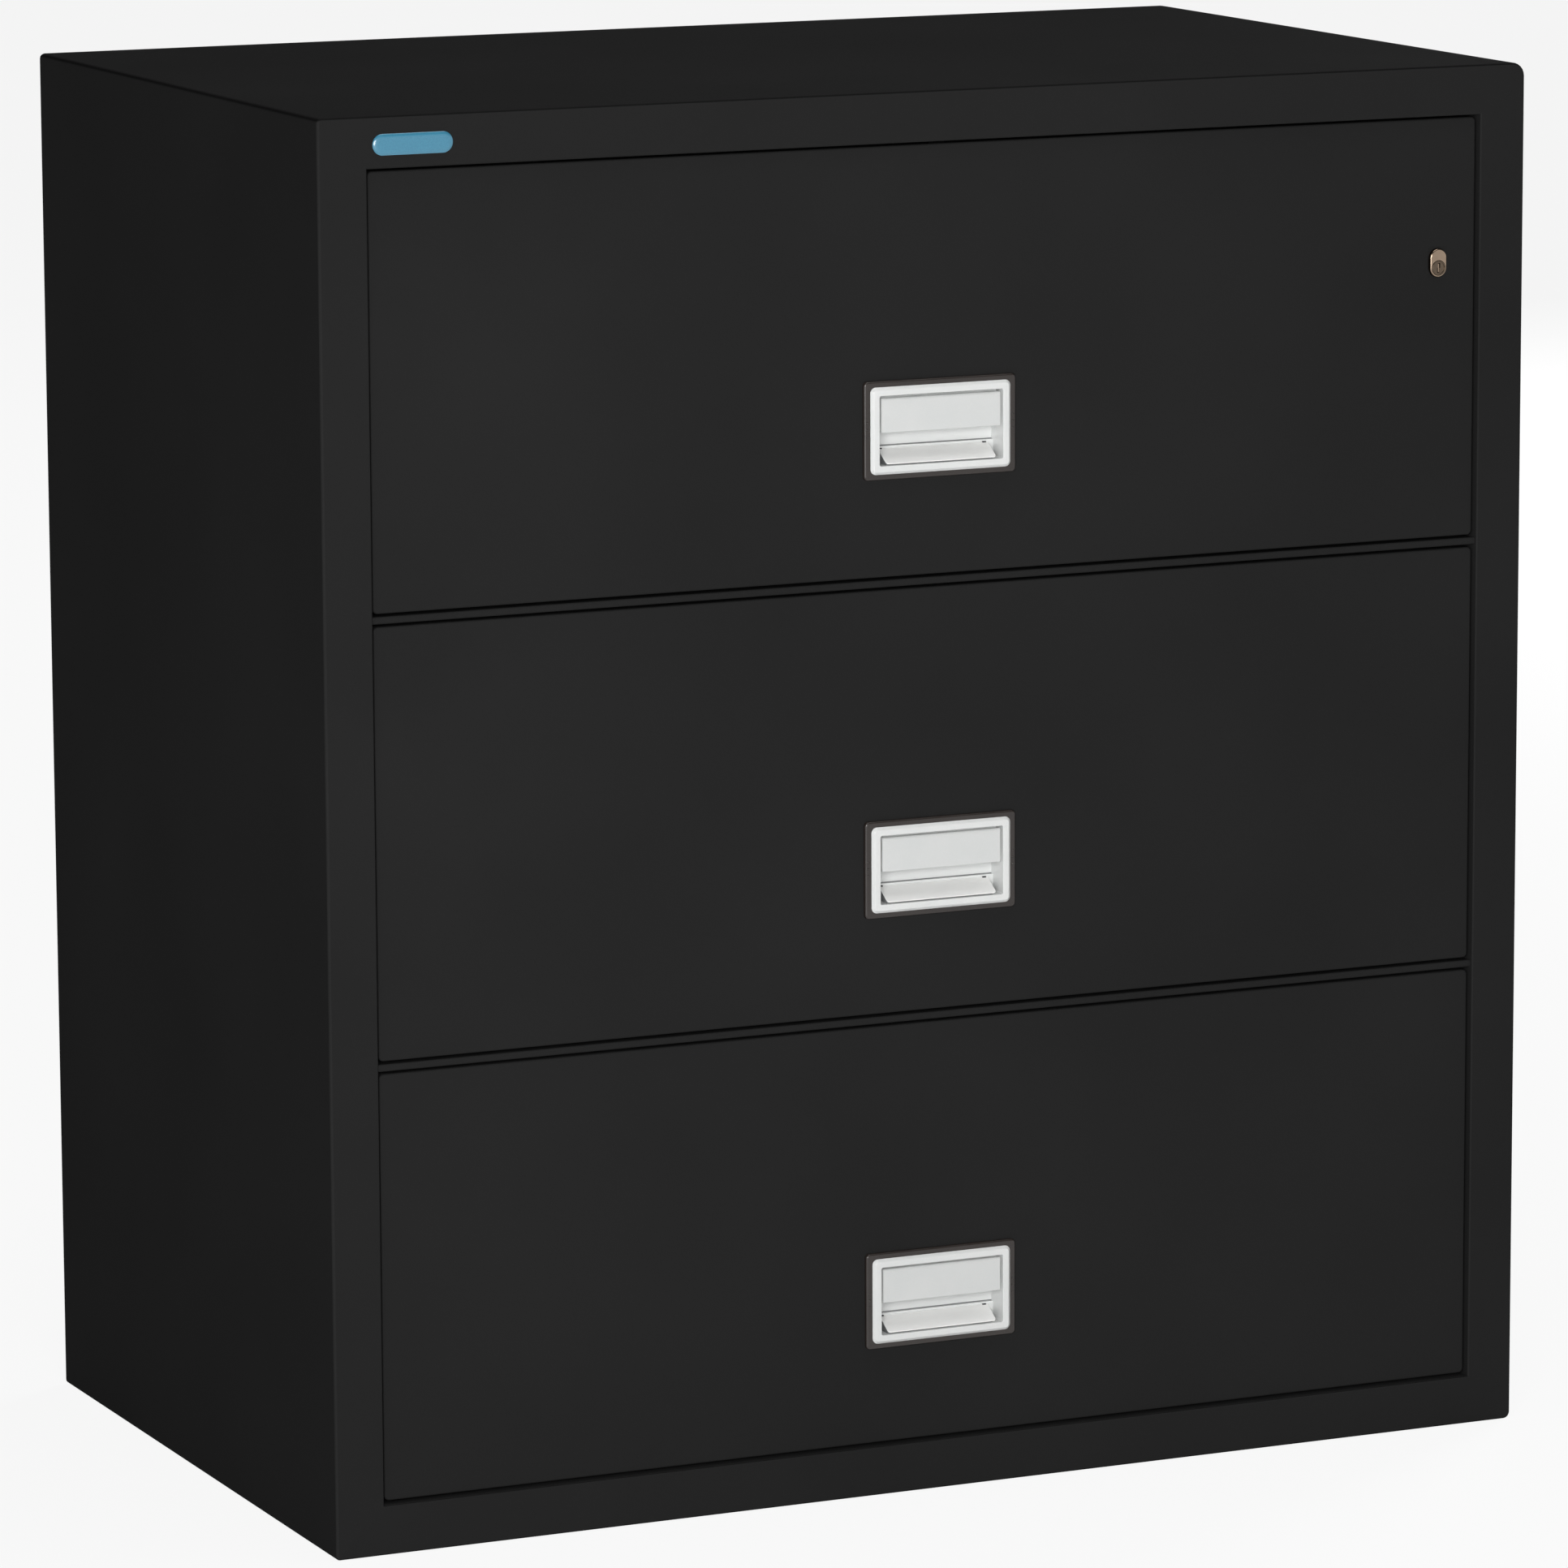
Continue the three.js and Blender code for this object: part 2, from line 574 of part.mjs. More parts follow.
function latchBar() {
  const low = PIVOT_Z - WINDOW_HEIGHT / 2;
  const top = FRONT_HEIGHT - HANDLE_HEIGHT + LATCH_PROUD;
  return cut(
    latchHole(low - WINDOW_FOOT, top, 0),
    block([-WINDOW_WIDTH / 2, WINDOW_WIDTH / 2], [LATCH_Y - PAST, LATCH_Y + LATCH_THICK + PAST],
      [low, low + WINDOW_HEIGHT]));
}

function addHandle(parent, drawer) {
  const handle = new THREE.Group();
  handle.position.z = HANDLE_HEIGHT;
  parent.add(handle);
  add(handle, `handle_bezel_${drawer}`, 'greyPlastic', bezel());
  add(handle, `handle_pocket_${drawer}`, 'whitePlastic', pocket());
  add(handle, `paddle_${drawer}`, 'whitePlastic', paddle());
  add(handle, `latch_bar_${drawer}`, 'zincSteel', latchBar());
}

// Push lock: a case in the drawer front, a sliding plunger and a key plug that turns in it
function addLock(parent) {
  const x = FRONT_WIDTH / 2 - LOCK_IN;
  const plugZ = FRONT_HEIGHT - LOCK_DOWN - (LOCK_HEIGHT - LOCK_WIDTH) / 2;
  const plungerEnd = LOCK_LENGTH - LOCK_PROUD;
  const plugEnd = PLUG_LENGTH - LOCK_PROUD;
  const bore = prism('y', lockOutline(FIT), [0, plungerEnd + FIT]);
  const plunger = prism('y', lockOutline(0), [-LOCK_PROUD, plungerEnd], LOCK_EDGE);
  const plugBore = barrel(x, [-LOCK_PROUD - PAST, plugEnd + FIT], plugZ, PLUG_RADIUS + FIT);
  const plug = barrel(x, [-LOCK_PROUD - PLUG_PROUD, plugEnd], plugZ, PLUG_RADIUS);
  const keyway = block([x - KEYWAY_WIDTH / 2, x + KEYWAY_WIDTH / 2],
    [-LOCK_PROUD - PLUG_PROUD - PAST, KEYWAY_DEPTH - LOCK_PROUD],
    [plugZ - KEYWAY_HEIGHT / 2, plugZ + KEYWAY_HEIGHT / 2]);
  add(parent, 'lock_case', 'zincSteel', cut(lockRoom(0), bore));
  add(parent, 'lock_plunger', 'nickel', cut(plunger, plugBore));
  add(parent, 'lock_plug', 'nickel', cut(plug, keyway));
}

function addDrawer(parent, drawer, low) {
  const group = new THREE.Group();
  group.position.set(0, FACE, low);
  parent.add(group);
  const locked = drawer === LOCKED_DRAWER;
  add(group, `front_shell_${drawer}`, 'blackPaint', frontShell(locked));
  add(group, `front_filling_${drawer}`, 'gypsum', frontFilling(locked));
  add(group, `front_plate_${drawer}`, 'greyPaint',
    frontInside(SHEET + SEAT, [FRONT_THICK - SHEET, FRONT_THICK]));
  add(group, `tray_${drawer}`, 'greyPaint', tray());
  addSlide(group, drawer, 'left', -1);
  addSlide(group, drawer, 'right', 1);
  addHandle(group, drawer);
  if (locked) addLock(group);
}

function addCase(parent) {
  add(parent, 'top_panel', 'blackPaint', cut(endPanel(OPEN_HIGH, 1), strikeSlot(OPEN_HIGH)));
  add(parent, 'base_pan', 'blackPaint', endPanel(OPEN_LOW, -1));
  add(parent, 'side_panel_left', 'blackPaint', sidePanel(-1));
  add(parent, 'side_panel_right', 'blackPaint', sidePanel(1));
  add(parent, 'back_panel', 'blackPaint', backPanel());
  add(parent, 'inner_wall_left', 'greyPaint', sideBoard(-1));
  add(parent, 'inner_wall_right', 'greyPaint', sideBoard(1));
  add(parent, 'inner_wall_top', 'greyPaint',
    endBoard(BAY_CEILING, OPEN_HIGH + SHEET + SEAT, HEIGHT - SHEET - SEAT, TOP_BEND));
  add(parent, 'inner_wall_bottom', 'greyPaint',
    endBoard(BAY_FLOOR, OPEN_LOW - SHEET - SEAT, SHEET + SEAT, FOOT_BEND));
  add(parent, 'inner_wall_back', 'greyPaint', backBoard());
  add(parent, 'badge', 'blueResin', badge());
}

const cabinet = new THREE.Group();
addCase(cabinet);
DRAWERS.forEach((drawer, row) => {
  const low = OPEN_LOW + row * (CELL + RAIL);
  addDrawer(cabinet, drawer, low + GAP);
  if (row > 0) {
    const name = row === 1 ? 'lower' : 'upper';
    add(cabinet, `divider_rail_${name}`, 'blackPaint', dividerRail(low - RAIL));
    add(cabinet, `partition_${name}`, 'greyPaint', partition(low - RAIL));
  }
});

export default cabinet;
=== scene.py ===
# %% [markdown]
# # Dressing a lateral filing cabinet
#
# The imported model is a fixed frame: every part is in its place already, in metres, with the
# drawers facing -Y and the floor at zero. This lesson gives each part the shape and the finish of
# the real one: painted sheet steel with rolled edges, moulded handles and a plated push lock.

# %% Load the frame
import math
import bmesh
import bpy
from mathutils import Matrix, Vector


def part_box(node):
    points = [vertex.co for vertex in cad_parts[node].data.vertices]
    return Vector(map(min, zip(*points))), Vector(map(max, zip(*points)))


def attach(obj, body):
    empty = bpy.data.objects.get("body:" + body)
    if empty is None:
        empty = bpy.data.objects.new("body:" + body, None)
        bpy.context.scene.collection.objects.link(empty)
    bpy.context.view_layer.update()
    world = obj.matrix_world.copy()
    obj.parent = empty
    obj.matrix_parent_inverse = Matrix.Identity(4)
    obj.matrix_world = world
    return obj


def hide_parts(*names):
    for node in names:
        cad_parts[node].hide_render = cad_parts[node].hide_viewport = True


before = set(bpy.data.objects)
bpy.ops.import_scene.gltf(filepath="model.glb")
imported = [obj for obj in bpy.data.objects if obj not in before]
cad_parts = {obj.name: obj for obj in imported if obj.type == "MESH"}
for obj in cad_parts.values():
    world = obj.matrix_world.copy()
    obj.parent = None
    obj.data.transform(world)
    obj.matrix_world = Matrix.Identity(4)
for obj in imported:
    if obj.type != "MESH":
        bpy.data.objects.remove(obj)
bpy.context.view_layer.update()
MM = 0.001
ROWS = ("bottom", "middle", "top")

# %% [markdown]
# ## Camera
#
# The picture was taken from the left of the cabinet with a long lens, a little above its top. A long
# lens far away keeps the upright edges nearly parallel. Its place is measured from the floor under
# the middle of the case, and three angles turn it.

# %% Camera
CAMERA_PLACE = (-2.551, -5.637, 1.577)
CAMERA_YAW, CAMERA_PITCH, CAMERA_ROLL = 24.394, 10.071, 0.249  # degrees right, down and over

lens = bpy.data.cameras.new("camera")
lens.lens, lens.sensor_width = 191.3, 36
camera = bpy.data.objects.new("camera", lens)
bpy.context.collection.objects.link(camera)
turn_right = Matrix.Rotation(-math.radians(CAMERA_YAW), 4, "Z")
tip_down = Matrix.Rotation(math.radians(90 - CAMERA_PITCH), 4, "X")
lean = Matrix.Rotation(-math.radians(CAMERA_ROLL), 4, "Z")
camera.matrix_world = Matrix.Translation(CAMERA_PLACE) @ turn_right @ tip_down @ lean
bpy.context.scene.camera = camera
print("camera looks along", [round(c, 3) for c in camera.matrix_world.to_3x3() @ Vector((0, 0, -1))])

# %% [markdown]
# ## How a finish is written
#
# A finish is a small tree of shader nodes. Screen colours are written as hex codes and turned into
# the linear light that a shader mixes. Every pattern reads Object coordinates, which are metres on
# this part, so a pattern's scale is one over the size of its grain.

# %% Tools for finishes
def linear(code):
    """A screen colour such as #3f9cc0, as the linear colour of a shader socket."""
    parts = [int(code[at:at + 2], 16) / 255 for at in (1, 3, 5)]
    return [p / 12.92 if p <= 0.04045 else ((p + 0.055) / 1.055) ** 2.4 for p in parts] + [1.0]


def add_node(tree, kind, inputs=None, **settings):
    """Adds a node, sets its options, and fills or links its sockets."""
    made = tree.nodes.new(kind)
    for name, value in settings.items():
        setattr(made, name, value)
    for socket, value in (inputs or {}).items():
        if isinstance(value, bpy.types.NodeSocket):
            tree.links.new(value, made.inputs[socket])
        else:
            made.inputs[socket].default_value = value
    return made


def start_finish(name, **constants):
    """A material with a Principled shader, whose constant values are set on its own sockets."""
    material = bpy.data.materials.new(name)
    material.use_nodes = True
    tree = material.node_tree
    tree.nodes.clear()
    shader = add_node(tree, "ShaderNodeBsdfPrincipled")
    for socket, value in constants.items():
        shader.inputs[socket.replace("_", " ")].default_value = value
    add_node(tree, "ShaderNodeOutputMaterial", {"Surface": shader.outputs["BSDF"]})
    place = add_node(tree, "ShaderNodeTexCoord").outputs["Object"]
    return material, tree, shader, place


def grain(tree, place, size, detail=2.0, stretch=(1, 1, 1)):
    """Noise with grains of the given size in metres, drawn out along an axis by a stretch below 1."""
    turned = add_node(tree, "ShaderNodeMapping", {"Vector": place, "Scale": stretch})
    noise = add_node(tree, "ShaderNodeTexNoise", {
        "Vector": turned.outputs["Vector"], "Scale": 1 / size, "Detail": detail})
    return noise.outputs["Fac"]


def two_tones(tree, factor, dark, light):
    """Two close colours, mixed by a pattern."""
    ramp = add_node(tree, "ShaderNodeValToRGB", {"Fac": factor})
    for element, position, code in zip(ramp.color_ramp.elements, (0.3, 0.7), (dark, light)):
        element.position, element.color = position, linear(code)
    return ramp.outputs["Color"]


def between(tree, factor, low, high):
    """A number that follows a pattern from low to high."""
    mapped = add_node(tree, "ShaderNodeMapRange", {
        "Value": factor, "From Min": 0.3, "From Max": 0.7, "To Min": low, "To Max": high})
    return mapped.outputs["Result"]


def dress(tree, shader, colour=None, roughness=None, height=None, depth=0.0):
    """Links patterns to the shader: colour, roughness, and a relief of the given depth."""
    if colour:
        tree.links.new(colour, shader.inputs["Base Color"])
    if roughness:
        tree.links.new(roughness, shader.inputs["Roughness"])
    if height:
        bump = add_node(tree, "ShaderNodeBump", {"Height": height, "Distance": depth, "Strength": 1.0})
        tree.links.new(bump.outputs["Normal"], shader.inputs["Normal"])


# %% [markdown]
# ## Painted and plated steel
#
# The case and the drawer fronts are sheet steel with a baked black powder coat. Up close it is not
# flat: the powder melts into a fine orange peel, and its sheen varies a little over a panel. The
# sheen of the flats is painted into the colour here. On the case, a bend that turns up gets painted
# shade, darker than a flat, as it would see only the dim ceiling, and one that turns to the lamp at
# the left gets a painted highlight.

# %% Bends with painted shade and highlight
# Painted shade darkens bends that face up; a painted highlight lightens bends that face front left.
UP_BEND_SHADE_BAND = ((0.35, 0.0), (0.55, 1.0), (0.75, 1.0), (0.92, 0.0))  # how far up a bend faces, and its share
UP_BEND_SHADE = -0.6
LEFT_BEND_HIGHLIGHT = 0.2


def paint_bend_light(tree, colour):
    """A colour with painted shade on bends that face up and a painted highlight on bends that face front left."""
    normal = add_node(tree, "ShaderNodeNewGeometry").outputs["Normal"]
    facing = add_node(tree, "ShaderNodeSeparateXYZ", {"Vector": normal}).outputs
    up_shade_mask = add_node(tree, "ShaderNodeValToRGB", {"Fac": facing["Z"]})
    stops = up_shade_mask.color_ramp.elements
    for place, share in UP_BEND_SHADE_BAND[1:3]:
        stops.new(place)
    for stop, (place, share) in zip(stops, UP_BEND_SHADE_BAND):
        stop.position, stop.color = place, (share, share, share, 1)
    up = add_node(tree, "ShaderNodeMath", {0: up_shade_mask.outputs["Color"], 1: UP_BEND_SHADE, 2: 1.0},
                  operation="MULTIPLY_ADD")
    corner = add_node(tree, "ShaderNodeMath", {0: facing["X"], 1: facing["Y"]}, operation="MULTIPLY")
    left = add_node(tree, "ShaderNodeMapRange", {
        "Value": corner.outputs["Value"], "From Min": 0.1, "From Max": 0.4, "To Min": 0.0, "To Max": LEFT_BEND_HIGHLIGHT})
    share = add_node(tree, "ShaderNodeMath", {0: up.outputs["Value"], 1: left.outputs["Result"]}, operation="ADD")
    colour_with_painted_light = add_node(tree, "ShaderNodeVectorMath", {"Vector": colour, "Scale": share.outputs["Value"]},
                     operation="SCALE")
    return colour_with_painted_light.outputs["Vector"]


# %% Powder coats
def powder_coat(name, dark, light, rough, gloss, bends=False):
    material, tree, shader, place = start_finish(name, IOR=1.45, Specular_IOR_Level=gloss)
    peel = grain(tree, place, 1.4 * MM)
    panel = grain(tree, place, 220 * MM, detail=3.0)
    colour = two_tones(tree, panel, dark, light)
    dress(tree, shader, paint_bend_light(tree, colour) if bends else colour,
          between(tree, peel, rough - 0.05, rough + 0.05), peel, 0.06 * MM)
    return material


# Both black coats have a painted sheen in their colour; the case's coat also gets painted shade and highlight on its
# bends.
case_coat_with_painted_light = powder_coat("black_powder_coat_painted_bend_light", "#252525", "#282828", 0.8, 0.005, True)
black_coat = powder_coat("black_powder_coat", "#252525", "#282828", 0.8, 0.005)
grey_coat = powder_coat("grey_powder_coat", "#85888a", "#8d9092", 0.55, 0.3)
print("coats", case_coat_with_painted_light.name, black_coat.name, grey_coat.name)

# %% [markdown]
# The slides are rolled from zinc-plated strip, which keeps fine lines along its length and a faint
# cloudiness from the plating bath. The lock is nickel plate over a die casting, smoother and warmer.
# Its colour is darker and browner than bare nickel: partly its own warm tone, partly a painted
# reflection of a dim room, and its key plug is darker still by the same painted reflection. Both are
# metals, so their colour is the colour of their reflection.

# %% Plated metals
def plated(name, dark, light, rough, lines):
    material, tree, shader, place = start_finish(name, Metallic=1.0)
    bath = grain(tree, place, 12 * MM, detail=4.0)
    drawn = grain(tree, place, 0.5 * MM, stretch=lines)
    dress(tree, shader, two_tones(tree, bath, dark, light),
          between(tree, drawn, rough - 0.06, rough + 0.08), drawn, 0.01 * MM)
    return material


zinc_plate = plated("zinc_plated_steel", "#a9adb0", "#bcc0c1", 0.36, (1, 0.02, 1))
# Painted reflection: the lock and its plug are darker than bare nickel, standing for a dim room.
nickel_plate_painted_dark = plated("nickel_casting_painted_dark", "#8d7a69", "#a08d7b", 0.18, (1, 1, 0.1))
plug_plate_painted_darker = plated("nickel_plug_painted_darker", "#5a4e43", "#6b5e51", 0.28, (1, 1, 0.1))
print("plates", zinc_plate.name, nickel_plate_painted_dark.name, plug_plate_painted_darker.name)

# %% [markdown]
# ## Plastics, resin and board
#
# The handle's pocket and paddle are injection-moulded in a very pale grey. The finger plate is
# painted near white, lighter than the pocket, as painted light for the light from above on its slope.
# The mould's spark-eroded texture is drawn at 0.35 mm, coarser than the real tenth of a millimetre, so
# that it survives in the picture. The bezel is the same plastic in a warm dark grey, and the foot of the
# finger plate is a middle grey that is painted shade.

# %% Moulded plastics
def moulded(name, dark, light, rough):
    material, tree, shader, place = start_finish(name, IOR=1.53)
    spark = grain(tree, place, 0.35 * MM)
    flow = grain(tree, place, 30 * MM, detail=2.0)
    dress(tree, shader, two_tones(tree, flow, dark, light),
          between(tree, spark, rough - 0.06, rough + 0.06), spark, 0.008 * MM)
    return material


# Painted light: the finger plate's near white stands for light from above on its slope.
plate_plastic_painted_lighter = moulded("moulded_plate_plastic_painted_lighter", "#f8f8f6", "#fafaf8", 0.36)
pocket_plastic = moulded("moulded_pale_plastic", "#dddfde", "#e1e2e1", 0.24)
paddle_plastic = moulded("moulded_pale_grey_plastic", "#d2d4d3", "#d6d7d6", 0.24)
# Painted shade: the foot's mid grey makes the gaps round the finger plate read dark.
foot_plastic_painted_shade = moulded("moulded_grey_painted_shade", "#717374", "#777979", 0.4)
bezel_plastic = moulded("moulded_warm_grey_plastic", "#251f1c", "#292320", 0.32)
print("plastics", *(made.name for made in (plate_plastic_painted_lighter, pocket_plastic, paddle_plastic, foot_plastic_painted_shade, bezel_plastic)))

# %% [markdown]
# The badge is a drop of clear resin over a blue foil, so a coloured base under a smooth clear coat
# is the honest way to make it. Inside the walls there is gypsum board, dull and slightly speckled,
# and round the back of each drawer front runs a soft dark seal. The latch bars get a near black that
# is painted shade, so they don't show in the gap above a drawer.

# %% Resin, board and seal
def poured_resin():
    material, tree, shader, place = start_finish(
        "blue_foil_under_resin", Coat_Weight=1.0, Coat_Roughness=0.04, Coat_IOR=1.5)
    foil = grain(tree, place, 0.6 * MM, detail=1.0)
    dress(tree, shader, two_tones(tree, foil, "#2f7692", "#37809c"), between(tree, foil, 0.3, 0.42))
    return material


def dull(name, dark, light, size, rough, depth):
    material, tree, shader, place = start_finish(name, IOR=1.45)
    speck = grain(tree, place, size, detail=5.0)
    dress(tree, shader, two_tones(tree, speck, dark, light), between(tree, speck, rough - 0.05, rough),
          speck, depth)
    return material


badge_resin = poured_resin()
gypsum_board = dull("gypsum_board", "#cfcabc", "#ddd9cd", 2 * MM, 0.95, 0.1 * MM)
seal_rubber = dull("seal_rubber", "#1b1b1c", "#262627", 0.8 * MM, 0.8, 0.05 * MM)
# Painted shade: near black for the latch bars in the drawer gaps and for the dark slots in the pockets.
black_painted_shade = powder_coat("black_painted_shade", "#080808", "#0c0c0c", 0.8, 0.005)
print("other finishes", *(made.name for made in (badge_resin, gypsum_board, seal_rubber, black_painted_shade)))

# %% [markdown]
# ## Tools for shapes
#
# Nearly every part here is a folded or moulded box, so a few small tools do most of the work: a block
# between two corners, rounding of chosen edges, a window cut through a flat face, and a rim
# drawn out into a wall. Each one wraps a bmesh operator.

# %% Choosing edges
TINY = 1e-6


def in_plane(thing, axis, place):
    """True if every corner of an edge or a face lies in a plane."""
    return all(abs(vert.co[axis] - place) < TINY * 10 for vert in thing.verts)


def edges_along(bm, axis):
    """Edges that run along one axis."""
    others = [other for other in range(3) if other != axis]
    return [e for e in bm.edges
            if all(abs(e.verts[0].co[o] - e.verts[1].co[o]) < TINY for o in others)]


def edges_in(bm, axis, place):
    return [e for e in bm.edges if in_plane(e, axis, place)]


# %% Blocks and rounding
def block(bm, low, high):
    """A box between two corners."""
    low, high = Vector(low), Vector(high)
    where = Matrix.LocRotScale((low + high) / 2, None, high - low)
    return bmesh.ops.create_cube(bm, size=1, matrix=where)["verts"]


def round_edges(bm, edges, radius, steps):
    bmesh.ops.bevel(bm, geom=edges, offset=radius, offset_type="OFFSET", segments=steps,
                    profile=0.5, affect="EDGES", material=-1, clamp_overlap=True)


def plate(low, high, corner, edge, steps=5, edge_steps=4):
    """A plate that faces -Y: its corners are rounded first, then the edge round its face."""
    bm = bmesh.new()
    block(bm, low, high)
    round_edges(bm, edges_along(bm, 1), corner, steps)
    round_edges(bm, edges_in(bm, 1, low[1]), edge, edge_steps)
    return bm


def add_to(bm, part):
    """Adds a part's mesh to another as a body of its own."""
    mesh = bpy.data.meshes.new("part")
    part.to_mesh(mesh)
    part.free()
    bm.from_mesh(mesh)
    bpy.data.meshes.remove(mesh)


# %% Windows and rims
def cut_window(bm, axis, place, spans):
    """Cuts a rectangular window in the faces of one plane and returns the edges round it."""
    def lying():
        return [f for f in bm.faces if in_plane(f, axis, place)]

    for across, span in spans.items():
        for at in span:
            faces = lying()
            edges = {e for f in faces for e in f.edges}
            verts = {v for f in faces for v in f.verts}
            point, normal = Vector(), Vector()
            point[across], normal[across] = at, 1
            bmesh.ops.bisect_plane(bm, geom=[*verts, *edges, *faces], dist=TINY,
                                   plane_co=point, plane_no=normal)
    middle = [f for f in lying() if all(
        low < f.calc_center_median()[across] < high for across, (low, high) in spans.items())]
    rim = {e for f in middle for e in f.edges}
    bmesh.ops.delete(bm, geom=middle, context="FACES")
    return [e for e in rim if e.is_valid]


def draw_out(bm, rim, step):
    """Draws a rim out into a wall and returns the wall's far edges."""
    made = bmesh.ops.extrude_edge_only(bm, edges=rim)["geom"]
    bmesh.ops.translate(bm, vec=step, verts=[g for g in made if isinstance(g, bmesh.types.BMVert)])
    return [g for g in made if isinstance(g, bmesh.types.BMEdge) and g.is_boundary]


def close(bm, rim):
    bmesh.ops.contextual_create(bm, geom=rim)


def ring(low, high, width, corner, edge):
    """A flat frame that faces -Y, of one width all round."""
    bm = plate(low, high, corner, edge)
    spans = {axis: (low[axis] + width[axis], high[axis] - width[axis]) for axis in (0, 2)}
    near, far = cut_window(bm, 1, low[1], spans), cut_window(bm, 1, high[1], spans)
    bmesh.ops.bridge_loops(bm, edges=near + far)
    return bm


# %% Round forms
def turned(profile, centre, steps=20):
    """A profile of (radius, place along Y) points, spun round an axis along Y."""
    bm = bmesh.new()
    verts = [bm.verts.new(centre + Vector((radius, along, 0))) for radius, along in profile]
    edges = [bm.edges.new(pair) for pair in zip(verts, verts[1:])]
    bmesh.ops.spin(bm, geom=verts + edges, cent=centre, axis=(0, 1, 0), angle=2 * math.pi,
                   steps=steps, use_merge=True)
    bmesh.ops.remove_doubles(bm, verts=bm.verts, dist=TINY)
    bmesh.ops.recalc_face_normals(bm, faces=bm.faces)
    return bm


def obround(bm, centre, width, height, steps=32):
    """A loop that faces -Y: a circle whose upper and lower halves are moved apart."""
    facing = Matrix.Rotation(math.pi / 2, 4, "X") @ Matrix.Rotation(math.pi / steps, 4, "Z")
    verts = bmesh.ops.create_circle(bm, segments=steps, radius=min(width, height) / 2,
                                    matrix=Matrix.Translation(centre) @ facing)["verts"]
    along = 0 if width > height else 2
    apart = Vector()
    apart[along] = abs(width - height) / 2
    upper = [v for v in verts if v.co[along] > centre[along]]
    bmesh.ops.translate(bm, vec=apart, verts=upper)
    bmesh.ops.translate(bm, vec=-apart, verts=[v for v in verts if v not in upper])
    return list({e for v in verts for e in v.link_edges})


# %% [markdown]
# A finished mesh becomes an object at the origin, so its place is in its mesh. Edges that turn by less
# than 40 degrees are shaded smooth, and weighted normals keep the large faces flat beside
# their rounded edges. Sheet parts get their gauge from a Solidify modifier.

# %% From mesh to piece
SMOOTH_BELOW = math.radians(40)


def piece(bm, name, body, finish, stands_for=(), gauge=0.0):
    """Makes an object of a bmesh. It rides on a body, and may stand for nodes of the frame."""
    bmesh.ops.recalc_face_normals(bm, faces=bm.faces)
    for face in bm.faces:
        face.smooth = True
    for edge in bm.edges:
        edge.smooth = edge.calc_face_angle(0) < SMOOTH_BELOW
    mesh = bpy.data.meshes.new(name)
    bm.to_mesh(mesh)
    bm.free()
    mesh.materials.append(finish)
    made = bpy.data.objects.new(name, mesh)
    bpy.context.collection.objects.link(made)
    if gauge:
        sheet = made.modifiers.new("gauge", "SOLIDIFY")
        sheet.thickness, sheet.offset, sheet.use_even_offset = gauge, -1, True
    made.modifiers.new("flat faces", "WEIGHTED_NORMAL").keep_sharp = True
    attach(made, body)
    if stands_for:
        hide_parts(*stands_for)
    print(name, len(mesh.polygons), "faces on", body)
    return made


# %% [markdown]
# ## The case
#
# The real case shows no seams: its sheets are welded, ground and painted as one skin, so one mesh
# stands for all of them. It starts as a block with bent edges. A window for the drawers is cut in its
# front, and the rim of the window is drawn back into a deep lip with a small roll at its front.

# %% Outside of the case
SHEET = 1.25 * MM
BORDER = 36.75 * MM
LIP = 62 * MM
BACK_FLANGE = 15 * MM
BENDS = {"top left": 4 * MM, "top right": 10 * MM, "foot left": 3 * MM, "foot right": 5 * MM}
case_low, case_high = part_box("base_pan")[0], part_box("top_panel")[1]

skin = bmesh.new()
block(skin, case_low, case_high)
for place, radius in BENDS.items():
    level = case_high.z if place.startswith("top") else case_low.z
    side = case_low.x if place.endswith("left") else case_high.x
    round_edges(skin, [e for e in edges_along(skin, 1) if in_plane(e, 2, level) and in_plane(e, 0, side)],
                radius, 6)
round_edges(skin, edges_in(skin, 1, case_low.y), 2.2 * MM, 4)
round_edges(skin, edges_in(skin, 1, case_high.y), 3 * MM, 4)
print("case", [round(c / MM) for c in case_high - case_low], "mm")

# %% Frame round the drawers
SIDE_GAP = 2 * MM
ROLL = 1.4 * MM
STRIKE = (7.5 * MM, 2.5 * MM, 7.5 * MM)  # half its width, then its start and end behind a drawer's face

front_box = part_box("front_shell_bottom")
opening = {0: (front_box[0].x - SIDE_GAP, front_box[1].x + SIDE_GAP),
           2: (case_low.z + BORDER, case_high.z - BORDER)}


def strike_slot(bm, level):
    """The slot that a latch bar's tip goes into."""
    half, start, end = STRIKE
    cut_window(bm, 2, level, {0: (-half, half), 1: (front_box[0].y + start, front_box[0].y + end)})


frame_rim = cut_window(skin, 1, case_low.y, opening)
draw_out(skin, frame_rim, (0, LIP, 0))
round_edges(skin, frame_rim, ROLL, 4)
strike_slot(skin, opening[2][1])
print("frame with an opening of", [round((high - low) / MM) for low, high in opening.values()], "mm")

# %% Back of the skin
flanges = {0: (case_low.x + BACK_FLANGE, case_high.x - BACK_FLANGE), 2: opening[2]}
cut_window(skin, 1, case_high.y, flanges)
piece(skin, "case_skin", "cabinet", case_coat_with_painted_light,
      ("base_pan", "top_panel", "side_panel_left", "side_panel_right"), SHEET)

# %% [markdown]
# The rails between the drawers are narrow channels of the same sheet, set a little behind the frame.
# Each is a block that is open at the back, with two small bends along its nose.

# %% Rails
RAIL_BEND = 1.6 * MM


